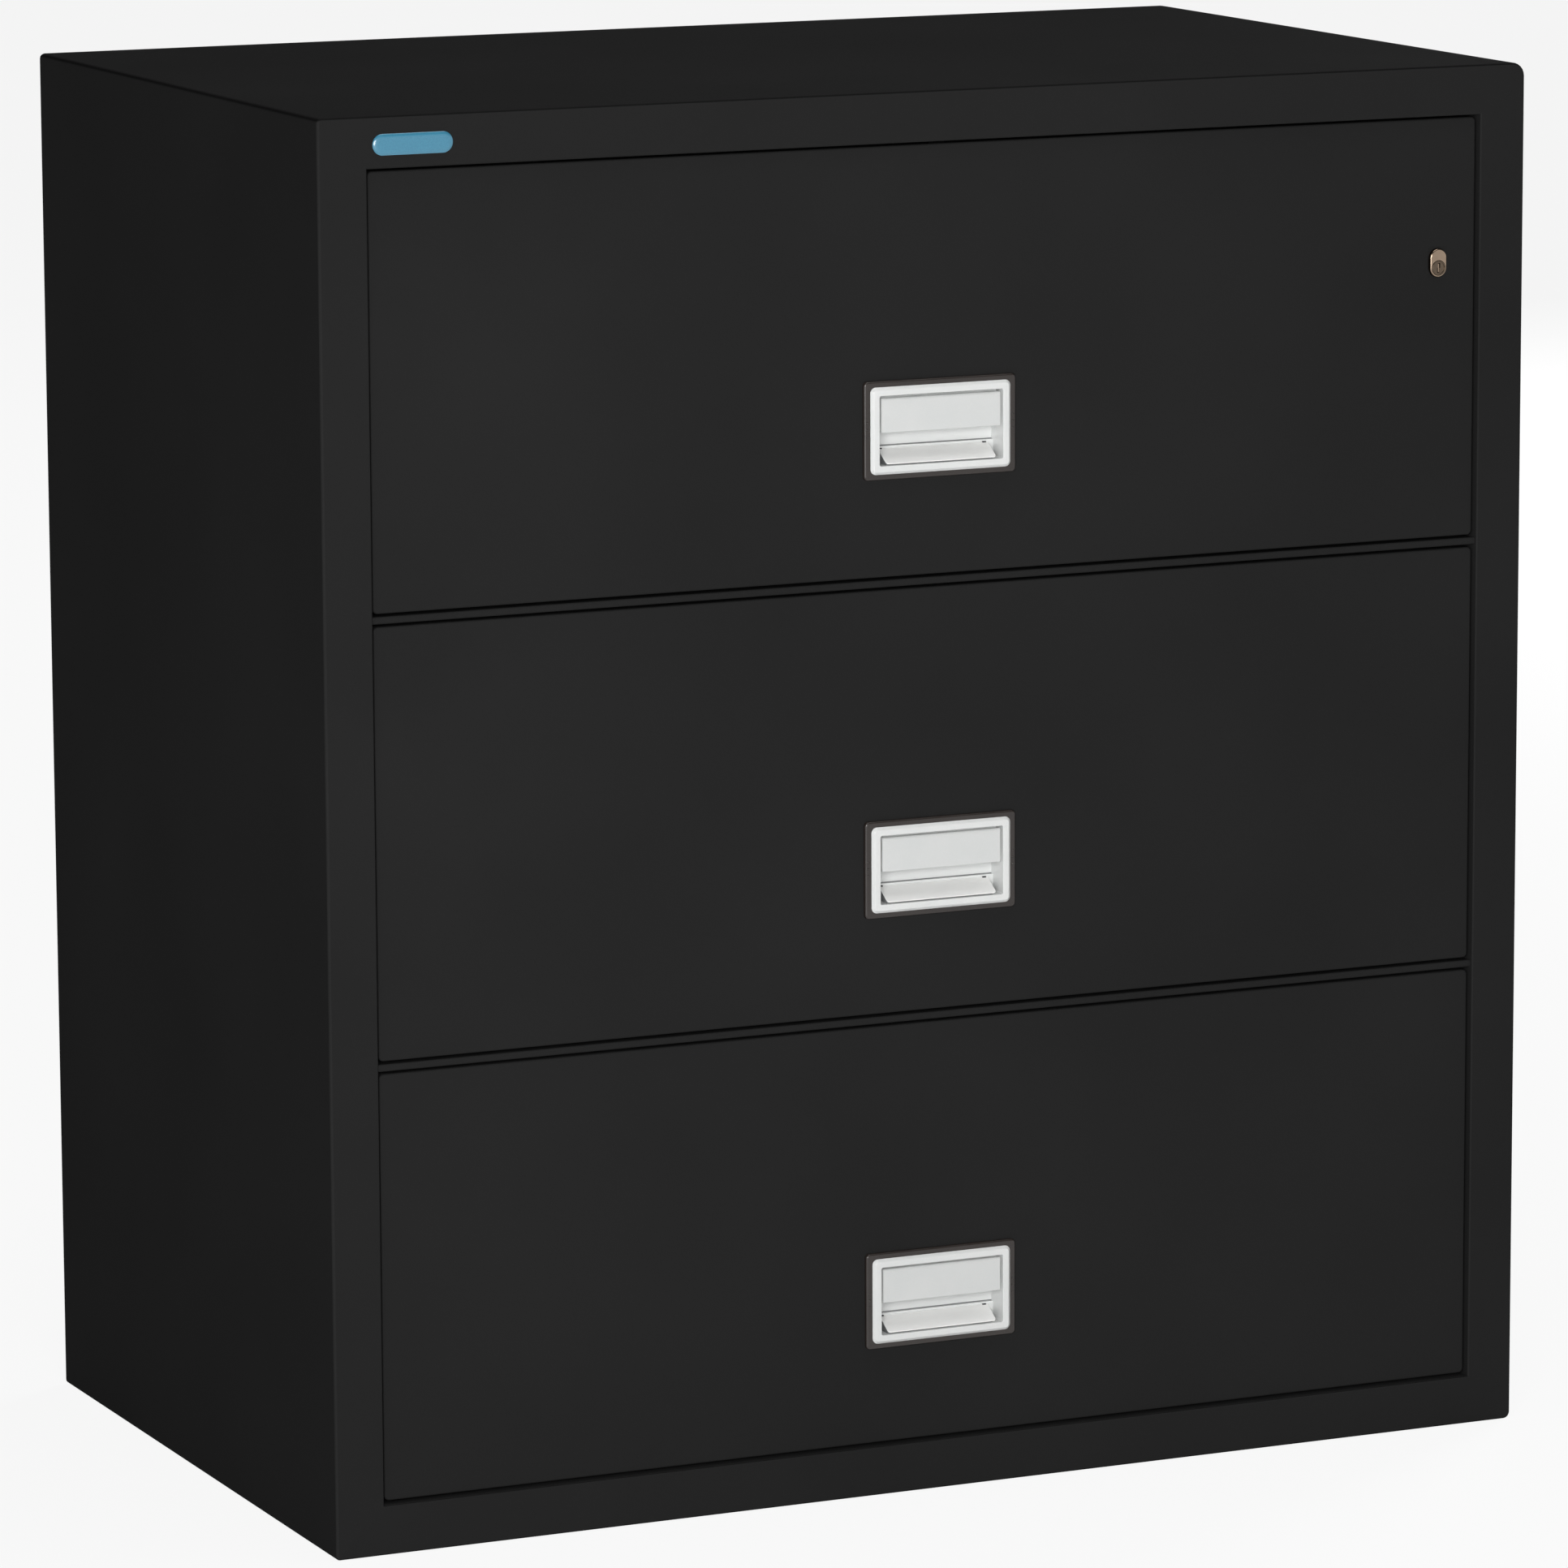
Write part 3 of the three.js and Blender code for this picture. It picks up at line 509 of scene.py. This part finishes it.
def divider_rail(place):
    low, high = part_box(f"divider_rail_{place}")
    rail = bmesh.new()
    block(rail, low, high)
    round_edges(rail, [e for e in edges_along(rail, 0) if in_plane(e, 1, low.y)], RAIL_BEND, 5)
    bmesh.ops.delete(rail, geom=[f for f in rail.faces if in_plane(f, 1, high.y)], context="FACES")
    strike_slot(rail, low.z)
    piece(rail, f"rail_{place}", "cabinet", black_coat, (f"divider_rail_{place}",), SHEET)


for place in ("lower", "upper"):
    divider_rail(place)

# %% [markdown]
# The back sheet lies inside the flanges of the skin. It is fixed with flat rivets that are
# painted over, a row along each side. A rivet's head is a short profile spun round its axis.

# %% Back sheet
RIVET_HEAD = [(0, 0.9 * MM), (2.2 * MM, 0.75 * MM), (3.4 * MM, 0.4 * MM), (3.9 * MM, 0), (3.9 * MM, -0.5 * MM)]
RIVET_INSET = 9 * MM


def spaced(low, high, count):
    return [low + (high - low) * step / (count - 1) for step in range(count)]


back_low, back_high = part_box("back_panel")
back = plate(back_low, back_high, 1 * MM, 0.3 * MM)
sides = [edge + turn * RIVET_INSET for edge, turn in zip(flanges[0], (1, -1))]
ends = [edge + turn * RIVET_INSET for edge, turn in zip(flanges[2], (1, -1))]
places = [(x, z) for x in sides for z in spaced(*ends, 8)]
places += [(x, z) for x in spaced(*sides, 8)[1:-1] for z in ends]
for x, z in places:
    add_to(back, turned(RIVET_HEAD, Vector((x, back_high.y, z)), 16))
piece(back, "back_sheet", "cabinet", black_coat, ("back_panel",))
print(len(places), "rivets")

# %% [markdown]
# ## Drawer fronts
#
# Each front is a shallow pan of sheet steel with its open side to the back. Its corners are slightly
# rounded, and the edge round its face has the small radius of a folded sheet. A window takes the
# handle, a slot in the top edge lets the latch bar through, and the top drawer has a hole for the lock.

# %% Drawer fronts
HANDLE_WINDOW = (52.3 * MM, 28.55 * MM)
LATCH_SLOT = (6.4 * MM, 3.6 * MM, 6.4 * MM)  # half its width, then its start and end behind the face
LOCK_ROOM = 2 * MM
LOCK_FIT = 0.3 * MM
LOOP_STEPS = 32


def handle_middle(row):
    low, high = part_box(f"handle_bezel_{row}")
    return (low + high) / 2


def lock_hole(bm, face):
    """A window whose rim, split into as many steps as a loop with round ends, is bridged to it."""
    low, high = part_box("lock_plunger")
    centre = (low + high) / 2
    centre.y = face
    rim = cut_window(bm, 1, face, {axis: (low[axis] - LOCK_ROOM, high[axis] + LOCK_ROOM) for axis in (0, 2)})
    split = bmesh.ops.subdivide_edges(bm, edges=rim, cuts=LOOP_STEPS // len(rim) - 1)["geom_split"]
    loop = obround(bm, centre, high.x - low.x + 2 * LOCK_FIT, high.z - low.z + 2 * LOCK_FIT, LOOP_STEPS)
    bmesh.ops.bridge_loops(bm, edges=[g for g in split if isinstance(g, bmesh.types.BMEdge)] + loop)


def drawer_front(row):
    low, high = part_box(f"front_shell_{row}")
    bm = plate(low, high, 3.5 * MM, 1.5 * MM)
    bmesh.ops.delete(bm, geom=[f for f in bm.faces if in_plane(f, 1, high.y)], context="FACES")
    middle = handle_middle(row)
    wide, tall = HANDLE_WINDOW
    cut_window(bm, 1, low.y, {0: (-wide, wide), 2: (middle.z - tall, middle.z + tall)})
    half, start, end = LATCH_SLOT
    cut_window(bm, 2, high.z, {0: (-half, half), 1: (low.y + start, low.y + end)})
    if row == "top":
        lock_hole(bm, low.y)
    piece(bm, f"drawer_front_{row}", f"drawer_{row}", black_coat,
          (f"front_shell_{row}",), SHEET)


for row in ROWS:
    drawer_front(row)

# %% [markdown]
# The back of a front is closed by a cover sheet with a row of screws, and a seal runs round it that
# presses on the case when the drawer is shut. The seal is a flat ring with soft edges.

# %% Covers and seals
SCREW_HEAD = [(0, 1.5 * MM), (2 * MM, 1.35 * MM), (3.1 * MM, 0.9 * MM), (3.6 * MM, 0.2 * MM), (3.6 * MM, -0.5 * MM)]
SEAL_WIDTH = 14 * MM
SEAL_THICK = 2.2 * MM


def front_cover(row):
    low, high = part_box(f"front_plate_{row}")
    bm = plate(low, high, 1 * MM, 0.3 * MM)
    inset = SEAL_WIDTH + 8 * MM
    for x in spaced(low.x + inset, high.x - inset, 7):
        for z in (low.z + inset / 2 + SEAL_WIDTH / 2, high.z - inset / 2 - SEAL_WIDTH / 2):
            add_to(bm, turned(SCREW_HEAD, Vector((x, high.y, z)), 14))
    piece(bm, f"front_cover_{row}", f"drawer_{row}", grey_coat, (f"front_plate_{row}",))
    seal = ring(Vector((low.x, high.y, low.z)), Vector((high.x, high.y + SEAL_THICK, high.z)),
                (SEAL_WIDTH, 0, SEAL_WIDTH), 4 * MM, 0.3 * MM)
    round_edges(seal, [e for e in edges_in(seal, 1, high.y + SEAL_THICK) if e.calc_face_angle(0) > 1],
                0.8 * MM, 3)
    piece(seal, f"front_seal_{row}", f"drawer_{row}", seal_rubber)


for row in ROWS:
    front_cover(row)

# %% [markdown]
# ## Trays
#
# Behind each front hangs a folded tray. Its walls turn in at the top into a lip with a short
# return, which makes the edge safe and stiff. Hanging files need something to hook on, so two plated
# bars run from front to back over the lips and split the tray in three.

# %% Trays
TRAY_LIP = 10 * MM
LIP_RETURN = 7 * MM


def tray(row):
    low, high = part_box(f"tray_{row}")
    bm = bmesh.new()
    block(bm, low, high)
    round_edges(bm, edges_along(bm, 2), 3 * MM, 4)
    round_edges(bm, edges_in(bm, 2, low.z) + edges_in(bm, 2, high.z), 2 * MM, 4)
    spans = {axis: (low[axis] + TRAY_LIP, high[axis] - TRAY_LIP) for axis in (0, 1)}
    rim = cut_window(bm, 2, high.z, spans)
    draw_out(bm, rim, (0, 0, -LIP_RETURN))
    round_edges(bm, rim, 2 * MM, 4)
    piece(bm, f"folded_tray_{row}", f"drawer_{row}", grey_coat, (f"tray_{row}",), SHEET)
    return low, high


# %% Hanging bars
BAR_THICK = 2.5 * MM
BAR_TALL = 15 * MM
HOOK = 1.6 * MM


def hanging_bars(row, low, high):
    bm = bmesh.new()
    for x in (low.x / 3, high.x / 3):
        half = BAR_THICK / 2
        bar = bmesh.new()
        block(bar, (x - half, low.y + TRAY_LIP + SHEET, high.z - BAR_TALL),
              (x + half, high.y - TRAY_LIP - SHEET, high.z))
        round_edges(bar, bar.edges[:], 0.6 * MM, 2)
        add_to(bm, bar)
        for start, end in ((low.y + 2 * MM, low.y + TRAY_LIP + 8 * MM), (high.y - TRAY_LIP - 8 * MM, high.y - 2 * MM)):
            hook = bmesh.new()
            block(hook, (x - 3 * half, start, high.z + 0.05 * MM), (x + 3 * half, end, high.z + HOOK))
            round_edges(hook, hook.edges[:], 0.5 * MM, 2)
            add_to(bm, hook)
    piece(bm, f"hanging_bars_{row}", f"drawer_{row}", zinc_plate)


for row in ROWS:
    hanging_bars(row, *tray(row))

# %% [markdown]
# ## Handles
#
# A handle is three mouldings. The dark bezel lies on the drawer front, with three tiny pips on each
# side. In it sits a white pocket with a sloped rim. The pocket starts as a plate: a window in its
# face is drawn back into the inside, a wider one in its back into the outside.

# %% Bezels
BEZEL_HOLE = HANDLE_WINDOW
PIP = 0.9 * MM
PIP_SPACE = 5 * MM


def bezel(row):
    low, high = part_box(f"handle_bezel_{row}")
    middle = (low + high) / 2
    width = (high.x - BEZEL_HOLE[0], 0, high.z - middle.z - BEZEL_HOLE[1])
    bm = ring(low, high, width, 3.2 * MM, 1.6 * MM)
    margin = (high.x + 55.5 * MM) / 2
    for x in (-margin, margin):
        for step in (-1, 0, 1):
            where = Matrix.Translation((x, low.y, middle.z + 1.2 * MM + step * PIP_SPACE))
            pip = bmesh.new()
            bmesh.ops.create_uvsphere(pip, u_segments=10, v_segments=6, radius=PIP, matrix=where)
            bmesh.ops.scale(pip, vec=(1, 0.6, 1), verts=pip.verts, space=where.inverted())
            add_to(bm, pip)
    piece(bm, f"bezel_{row}", f"drawer_{row}", bezel_plastic, (f"handle_bezel_{row}",))


for row in ROWS:
    bezel(row)

# %% Pockets
RIM_THICK = 2.45 * MM
RIM_SLOPE = 1.9 * MM
MOUTH = (49 * MM, 25.25 * MM)
CUP_WALL = 3 * MM
CUP_DEPTH = 20 * MM


def pocket(row):
    low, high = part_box(f"handle_pocket_{row}")
    middle = (low + high) / 2
    back_of_rim = low.y + RIM_THICK
    bm = plate(low, (high.x, back_of_rim, high.z), 4.2 * MM, RIM_SLOPE, 6, 1)

    def mouth(grow):
        wide, tall = MOUTH[0] + grow, MOUTH[1] + grow
        return {0: (-wide, wide), 2: (middle.z - tall, middle.z + tall)}

    inner = cut_window(bm, 1, low.y, mouth(0))
    inner_end = draw_out(bm, inner, (0, CUP_DEPTH, 0))
    close(bm, inner_end)
    outer = cut_window(bm, 1, back_of_rim, mouth(CUP_WALL))
    close(bm, draw_out(bm, outer, (0, high.y - back_of_rim, 0)))

    corners = [e for e in edges_along(bm, 1) if abs(e.calc_length() - CUP_DEPTH) < TINY * 10]
    round_edges(bm, corners, 1.2 * MM, 4)
    face_edges = [e for e in edges_in(bm, 1, low.y) if e.calc_face_angle(0) > 0.5]
    round_edges(bm, face_edges, 0.5 * MM, 3)
    return piece(bm, f"pocket_{row}", f"drawer_{row}", pocket_plastic,
                 (f"handle_pocket_{row}",)), low.y, middle.z


# %% [markdown]
# A thin finger plate with rounded front corners slopes up to the back of the pocket. A grey foot under
# it carries it clear of the floor and of the walls, and its grey is painted shade, so a dark line runs
# round it. Behind it the pocket has a step with a thin grey strip above it, painted shade in the groove,
# and two black blocks at the plate's back corners are painted shade for dark slots there. A side
# profile of a few points, drawn out across the pocket, gives the plate, the foot, the step and the strip.

# %% Finger plates
PLATE_ENDS = (-43 * MM, 44.6 * MM)
FOOT_ENDS = (-42.6 * MM, 42 * MM)
STEP_ENDS = (-48.95 * MM, 48.95 * MM)
STEP_HEIGHT = 12.2 * MM
CORNER_SHADE_ENDS = (40 * MM, 43 * MM)


def across(profile, left, right):
    """A side profile of (y, z) points, drawn out along X."""
    bm = bmesh.new()
    face = bm.faces.new([bm.verts.new((left, y, z)) for y, z in profile])
    made = bmesh.ops.extrude_face_region(bm, geom=[face])["geom"]
    bmesh.ops.translate(bm, vec=(right - left, 0, 0), verts=[g for g in made if isinstance(g, bmesh.types.BMVert)])
    bmesh.ops.recalc_face_normals(bm, faces=bm.faces)
    return bm


def finger_plate(row, mouth_y, middle_z):
    floor = middle_z - MOUTH[1]

    def at(points):
        return [(mouth_y + y * MM, floor + z * MM) for y, z in points]

    foot = across(at([(3.4, 0.02), (3.4, 1.4), (16.4, 9.4), (16.4, 0.02)]), *FOOT_ENDS)
    # Painted shade: a thin grey strip in the groove behind the step.
    groove_shade_strip = across(at([(19.5, 12.25), (19.5, 12.75), (19.95, 12.75), (19.95, 12.25)]), *STEP_ENDS)
    add_to(foot, groove_shade_strip)
    piece(foot, f"plate_foot_{row}", f"drawer_{row}", foot_plastic_painted_shade)
    top = across(at([(2.0, 0.75), (2.0, 1.5), (17.0, 10.7), (17.0, 9.8)]), *PLATE_ENDS)
    front = [e for e in top.edges if all(v.co.y < mouth_y + 3 * MM for v in e.verts)]
    round_edges(top, [e for e in front if abs(e.verts[0].co.x - e.verts[1].co.x) < TINY], 2 * MM, 4)
    round_edges(top, [e for e in top.edges if e.calc_face_angle(0) > 0.9], 0.3 * MM, 2)
    step = across(at([(17.2, 0.02), (17.2, 12.2), (19.95, 12.2), (19.95, 0.02)]), *STEP_ENDS)
    round_edges(step, edges_in(step, 2, floor + STEP_HEIGHT), 0.3 * MM, 2)
    piece(step, f"pocket_step_{row}", f"drawer_{row}", pocket_plastic)
    piece(top, f"finger_plate_{row}", f"drawer_{row}", plate_plastic_painted_lighter)
    # Painted shade: two black blocks stand for the dark slots at the plate's back corners.
    corner_shade_blocks = bmesh.new()
    for side in (-1, 1):
        start, end = sorted(side * x for x in CORNER_SHADE_ENDS)
        block(corner_shade_blocks, (start, mouth_y + 16.1 * MM, floor + 9.9 * MM), (end, mouth_y + 17.1 * MM, floor + 10.9 * MM))
    piece(corner_shade_blocks, f"plate_corner_shade_{row}", f"drawer_{row}", black_painted_shade)


for row in ROWS:
    made, mouth_y, middle_z = pocket(row)
    finger_plate(row, mouth_y, middle_z)

# %% [markdown]
# The paddle hangs in the upper half of the pocket. It is a plain plate with a rounded top. A flange
# with a turned-up edge hides the works above it, and a lug behind it pulls the latch bar down when
# the paddle is pulled.

# %% Paddles
PADDLE = (47.2 * MM, 24.7 * MM, 3 * MM)  # half width, height and thickness
LUG = (3 * MM, 11 * MM, 1.2 * MM)  # half width, reach and half thickness
FLANGE = (2.9, 6.4, 7.3)  # where it starts, turns up and ends behind the paddle's face, in mm


def paddle(row):
    low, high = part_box(f"paddle_{row}")
    half, tall, thick = PADDLE
    bm = bmesh.new()
    block(bm, (-half, low.y, high.z - tall), (half, low.y + thick, high.z))
    front = edges_in(bm, 1, low.y)
    round_edges(bm, [e for e in front if in_plane(e, 2, high.z)], 1.6 * MM, 4)
    round_edges(bm, edges_in(bm, 1, low.y), 0.5 * MM, 2)
    pivot = Vector((0, low.y + thick / 2, high.z - 2 * MM))
    wide, reach, deep = LUG
    lug = bmesh.new()
    block(lug, (-wide, pivot.y + thick / 2, pivot.z - deep), (wide, pivot.y + reach, pivot.z + deep))
    round_edges(lug, lug.edges[:], 0.5 * MM, 2)
    add_to(bm, lug)
    step, turn, end = (low.y + y * MM for y in FLANGE)
    flange = across([(step, high.z - 1.4 * MM), (step, high.z - 0.5 * MM), (turn, high.z - 0.5 * MM),
                     (turn, high.z + 0.6 * MM), (end, high.z + 0.6 * MM), (end, high.z - 1.4 * MM)],
                    0.4 * MM - half, half - 0.4 * MM)
    add_to(bm, flange)
    piece(bm, f"pull_paddle_{row}", f"paddle_{row}", paddle_plastic, (f"paddle_{row}",))


for row in ROWS:
    paddle(row)

# %% [markdown]
# ## Push lock
#
# The plunger is a plated casting with round ends. A loop with round ends is drawn back into its body,
# and its face is bridged to the round bore for the key plug. The plug has a raised ring and a sunk face
# with a crooked keyway, which is two narrow windows side by side, each drawn deep into the plug. The
# bright edge of the wards shows in it.

# %% Lock plunger
PLUG_BORE = 5.7 * MM


def circle(bm, centre, radius, steps=32):
    facing = Matrix.Translation(centre) @ Matrix.Rotation(math.pi / 2, 4, "X") @ Matrix.Rotation(
        math.pi / steps, 4, "Z")
    verts = bmesh.ops.create_circle(bm, segments=steps, radius=radius, matrix=facing)["verts"]
    return list({e for v in verts for e in v.link_edges})


plunger_low, plunger_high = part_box("lock_plunger")
plug_low, plug_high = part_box("lock_plug")
plug_centre = (plug_low + plug_high) / 2
face_centre = (plunger_low + plunger_high) / 2
face_centre.y = plunger_low.y
bore_centre = Vector((plug_centre.x, plunger_low.y, plug_centre.z))

plunger = bmesh.new()
outline = obround(plunger, face_centre, plunger_high.x - plunger_low.x, plunger_high.z - plunger_low.z)
close(plunger, draw_out(plunger, outline, (0, plunger_high.y - plunger_low.y, 0)))
bore = circle(plunger, bore_centre, PLUG_BORE)
bmesh.ops.bridge_loops(plunger, edges=outline + bore)
close(plunger, draw_out(plunger, bore, (0, plug_high.y - plunger_low.y + 0.3 * MM, 0)))
round_edges(plunger, outline, 1.2 * MM, 4)
piece(plunger, "push_plunger", "lock_plunger", nickel_plate_painted_dark, ("lock_plunger",))

# %% Key plug
RING_WIDTH = 0.8 * MM
FACE_SUNK = 0.5 * MM
KEYWAY = (0.9 * MM, 3.6 * MM)  # half width and half height
KEYWAY_JOG = 0.35 * MM
KEYWAY_DEPTH = 8 * MM
WARD = (0.45 * MM, 0.3 * MM, 3 * MM)  # half width, depth in the keyway and half height

plug = bmesh.new()
plug_front = Vector((plug_centre.x, plug_low.y, plug_centre.z))
rim = circle(plug, plug_front, plug_high.x - plug_centre.x)
close(plug, draw_out(plug, rim, (0, plug_high.y - plug_low.y, 0)))
close(plug, rim)
face = next(f for f in plug.faces if in_plane(f, 1, plug_low.y))
bmesh.ops.inset_region(plug, faces=[face], thickness=RING_WIDTH, use_even_offset=True)
inside = face.edges[:]
bmesh.ops.delete(plug, geom=[face], context="FACES_ONLY")
close(plug, draw_out(plug, inside, (0, FACE_SUNK, 0)))
for side, (low, high) in zip((-1, 1), ((-KEYWAY[1], 0), (0, KEYWAY[1]))):
    middle = plug_front.x + side * KEYWAY_JOG
    slot = cut_window(plug, 1, plug_front.y + FACE_SUNK, {
        0: (middle - KEYWAY[0], middle + KEYWAY[0]), 2: (plug_front.z + low, plug_front.z + high)})
    close(plug, draw_out(plug, slot, (0, KEYWAY_DEPTH, 0)))
round_edges(plug, rim, 0.3 * MM, 3)
piece(plug, "key_plug", "lock_plug", plug_plate_painted_darker, ("lock_plug",))

wards = bmesh.new()
block(wards, plug_front + Vector((-WARD[0], FACE_SUNK + WARD[1], -WARD[2])),
      plug_front + Vector((WARD[0], KEYWAY_DEPTH, WARD[2])))
piece(wards, "key_wards", "lock_plug", nickel_plate_painted_dark)

# %% [markdown]
# ## Badge
#
# The badge is a drop of resin that has run to the edge of an oval foil and swollen into a dome. An
# oval face is drawn forward, and a few insets, each a little smaller and less steep, swell it.
# The foil is left plain.

# %% Badge
DOME_STEPS = ((0.5 * MM, 0.42 * MM), (0.8 * MM, 0.36 * MM), (1.2 * MM, 0.24 * MM), (1.8 * MM, 0.12 * MM))

badge_low, badge_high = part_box("badge")
badge_centre = (badge_low + badge_high) / 2
badge_centre.y = badge_high.y
badge = bmesh.new()
foot = obround(badge, badge_centre, badge_high.x - badge_low.x, badge_high.z - badge_low.z, 48)
shoulder = draw_out(badge, foot, (0, -0.8 * MM, 0))
close(badge, shoulder)
for inward, forward in DOME_STEPS:
    crown = [f for f in badge.faces if len(f.verts) > 4]
    bmesh.ops.inset_region(badge, faces=crown, thickness=inward, depth=0, use_even_offset=True)
    crown = [f for f in badge.faces if len(f.verts) > 4]
    bmesh.ops.translate(badge, vec=(0, -forward, 0), verts=list({v for f in crown for v in f.verts}))
piece(badge, "domed_badge", "cabinet", badge_resin, ("badge",))

# %% [markdown]
# ## Parts that keep their solid
#
# The boards in the walls, the slides, the latch bars and the case of the lock are already the
# right shape, so they only change their finish.

# %% Finishes for the solids
FINISH_OF = (
    # The latch bars take the near black of painted shade.
    (("latch_bar",), black_painted_shade),
    (("inner_wall", "partition"), grey_coat),
    (("front_filling",), gypsum_board),
    (("slide_", "lock_case"), zinc_plate),
)

for starts, finish in FINISH_OF:
    for name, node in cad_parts.items():
        if name.startswith(starts):
            for slot in node.material_slots:
                slot.material = finish
    print(starts, "now", finish.name)

# %% [markdown]
# ## Floor, backdrop and light
#
# The picture has a plain white ground. The floor is a wide disc of pale paint, and what the camera sees of
# it is mostly its own white, so only a soft shadow shows under the case. The world is white where
# the camera, a reflection or a refraction meets it, and a dim grey for the light it sheds.

# %% Seen directly
def seen(tree):
    """One for a ray that shows the background: from the camera, a mirror or a pane."""
    path = add_node(tree, "ShaderNodeLightPath")
    mirror = add_node(tree, "ShaderNodeMath", operation="MAXIMUM")
    tree.links.new(path.outputs["Is Glossy Ray"], mirror.inputs[0])
    tree.links.new(path.outputs["Is Transmission Ray"], mirror.inputs[1])
    either = add_node(tree, "ShaderNodeMath", operation="MAXIMUM")
    tree.links.new(path.outputs["Is Camera Ray"], either.inputs[0])
    tree.links.new(mirror.outputs["Value"], either.inputs[1])
    return either.outputs["Value"]


# %% Floor
FLOOR_RADIUS = 45
OWN_WHITE = 0.9

ground = bmesh.new()
bmesh.ops.create_circle(ground, cap_ends=True, segments=64, radius=FLOOR_RADIUS,
                        matrix=Matrix.Translation((0, 0, -0.0005)))
floor_mesh = bpy.data.meshes.new("floor")
ground.to_mesh(floor_mesh)
ground.free()
floor = bpy.data.objects.new("floor", floor_mesh)
bpy.context.collection.objects.link(floor)

floor_paint = bpy.data.materials.new("white_floor_paint")
floor_paint.use_nodes = True
tree = floor_paint.node_tree
tree.nodes.clear()
matt = add_node(tree, "ShaderNodeBsdfDiffuse", {"Color": (0.85, 0.85, 0.85, 1)})
white = add_node(tree, "ShaderNodeEmission", {"Strength": 1.0})
share = add_node(tree, "ShaderNodeMath", {1: OWN_WHITE}, operation="MULTIPLY")
tree.links.new(seen(tree), share.inputs[0])
mixed = add_node(tree, "ShaderNodeMixShader", {
    0: share.outputs["Value"], 1: matt.outputs["BSDF"], 2: white.outputs["Emission"]})
add_node(tree, "ShaderNodeOutputMaterial", {"Surface": mixed.outputs["Shader"]})
floor_mesh.materials.append(floor_paint)

# %% World
DIM = 0.06

world = bpy.data.worlds.new("studio")
bpy.context.scene.world = world
world.use_nodes = True
tree = world.node_tree
tree.nodes.clear()
shed = add_node(tree, "ShaderNodeBackground", {"Color": (1, 1, 1, 1), "Strength": DIM})
upward = add_node(tree, "ShaderNodeSeparateXYZ", {
    "Vector": add_node(tree, "ShaderNodeTexCoord").outputs["Generated"]})
fade = add_node(tree, "ShaderNodeMapRange", {
    "Value": upward.outputs["Z"], "From Min": 0.1, "From Max": 0.4, "To Min": 1.0, "To Max": DIM})
shown = add_node(tree, "ShaderNodeBackground", {
    "Color": (1, 1, 1, 1), "Strength": fade.outputs["Result"]})
mixed = add_node(tree, "ShaderNodeMixShader", {
    0: seen(tree), 1: shed.outputs["Background"], 2: shown.outputs["Background"]})
add_node(tree, "ShaderNodeOutputWorld", {"Surface": mixed.outputs["Shader"]})
print("world sheds", DIM)

# %% [markdown]
# One large softbox near the camera lights the front, and the left side less. A strip at
# the left draws a bright line on every edge that faces it, and a box overhead lights the top.

# %% Lamps
def softbox(name, place, target, size, watts):
    lamp = bpy.data.lights.new(name, "AREA")
    lamp.shape, lamp.size, lamp.size_y, lamp.energy = "RECTANGLE", *size, watts
    box = bpy.data.objects.new(name, lamp)
    bpy.context.collection.objects.link(box)
    box.location = place
    box.rotation_euler = (Vector(target) - Vector(place)).to_track_quat("-Z", "Y").to_euler()
    box.visible_camera = False
    print(name, watts, "W")


softbox("key", (-2.0, -4.1, 1.35), (0, -0.29, 0.5), (2.2, 1.6), 154)
softbox("strip", (-3.4, -1.9, 1.0), (0, -0.2, 0.5), (0.3, 1.8), 5)
softbox("overhead", (0.2, -0.6, 3.3), (0, -0.1, 1.0), (1.8, 1.6), 24)
softbox("rear", (5.5, 3.5, 0.9), (0, 0.2, 0.5), (2.4, 1.6), 560)

# %% [markdown]
# ## View transform
#
# The view transform is Standard, so colours come out as they are written.

# %% View transform
bpy.context.scene.view_settings.view_transform = "Standard"
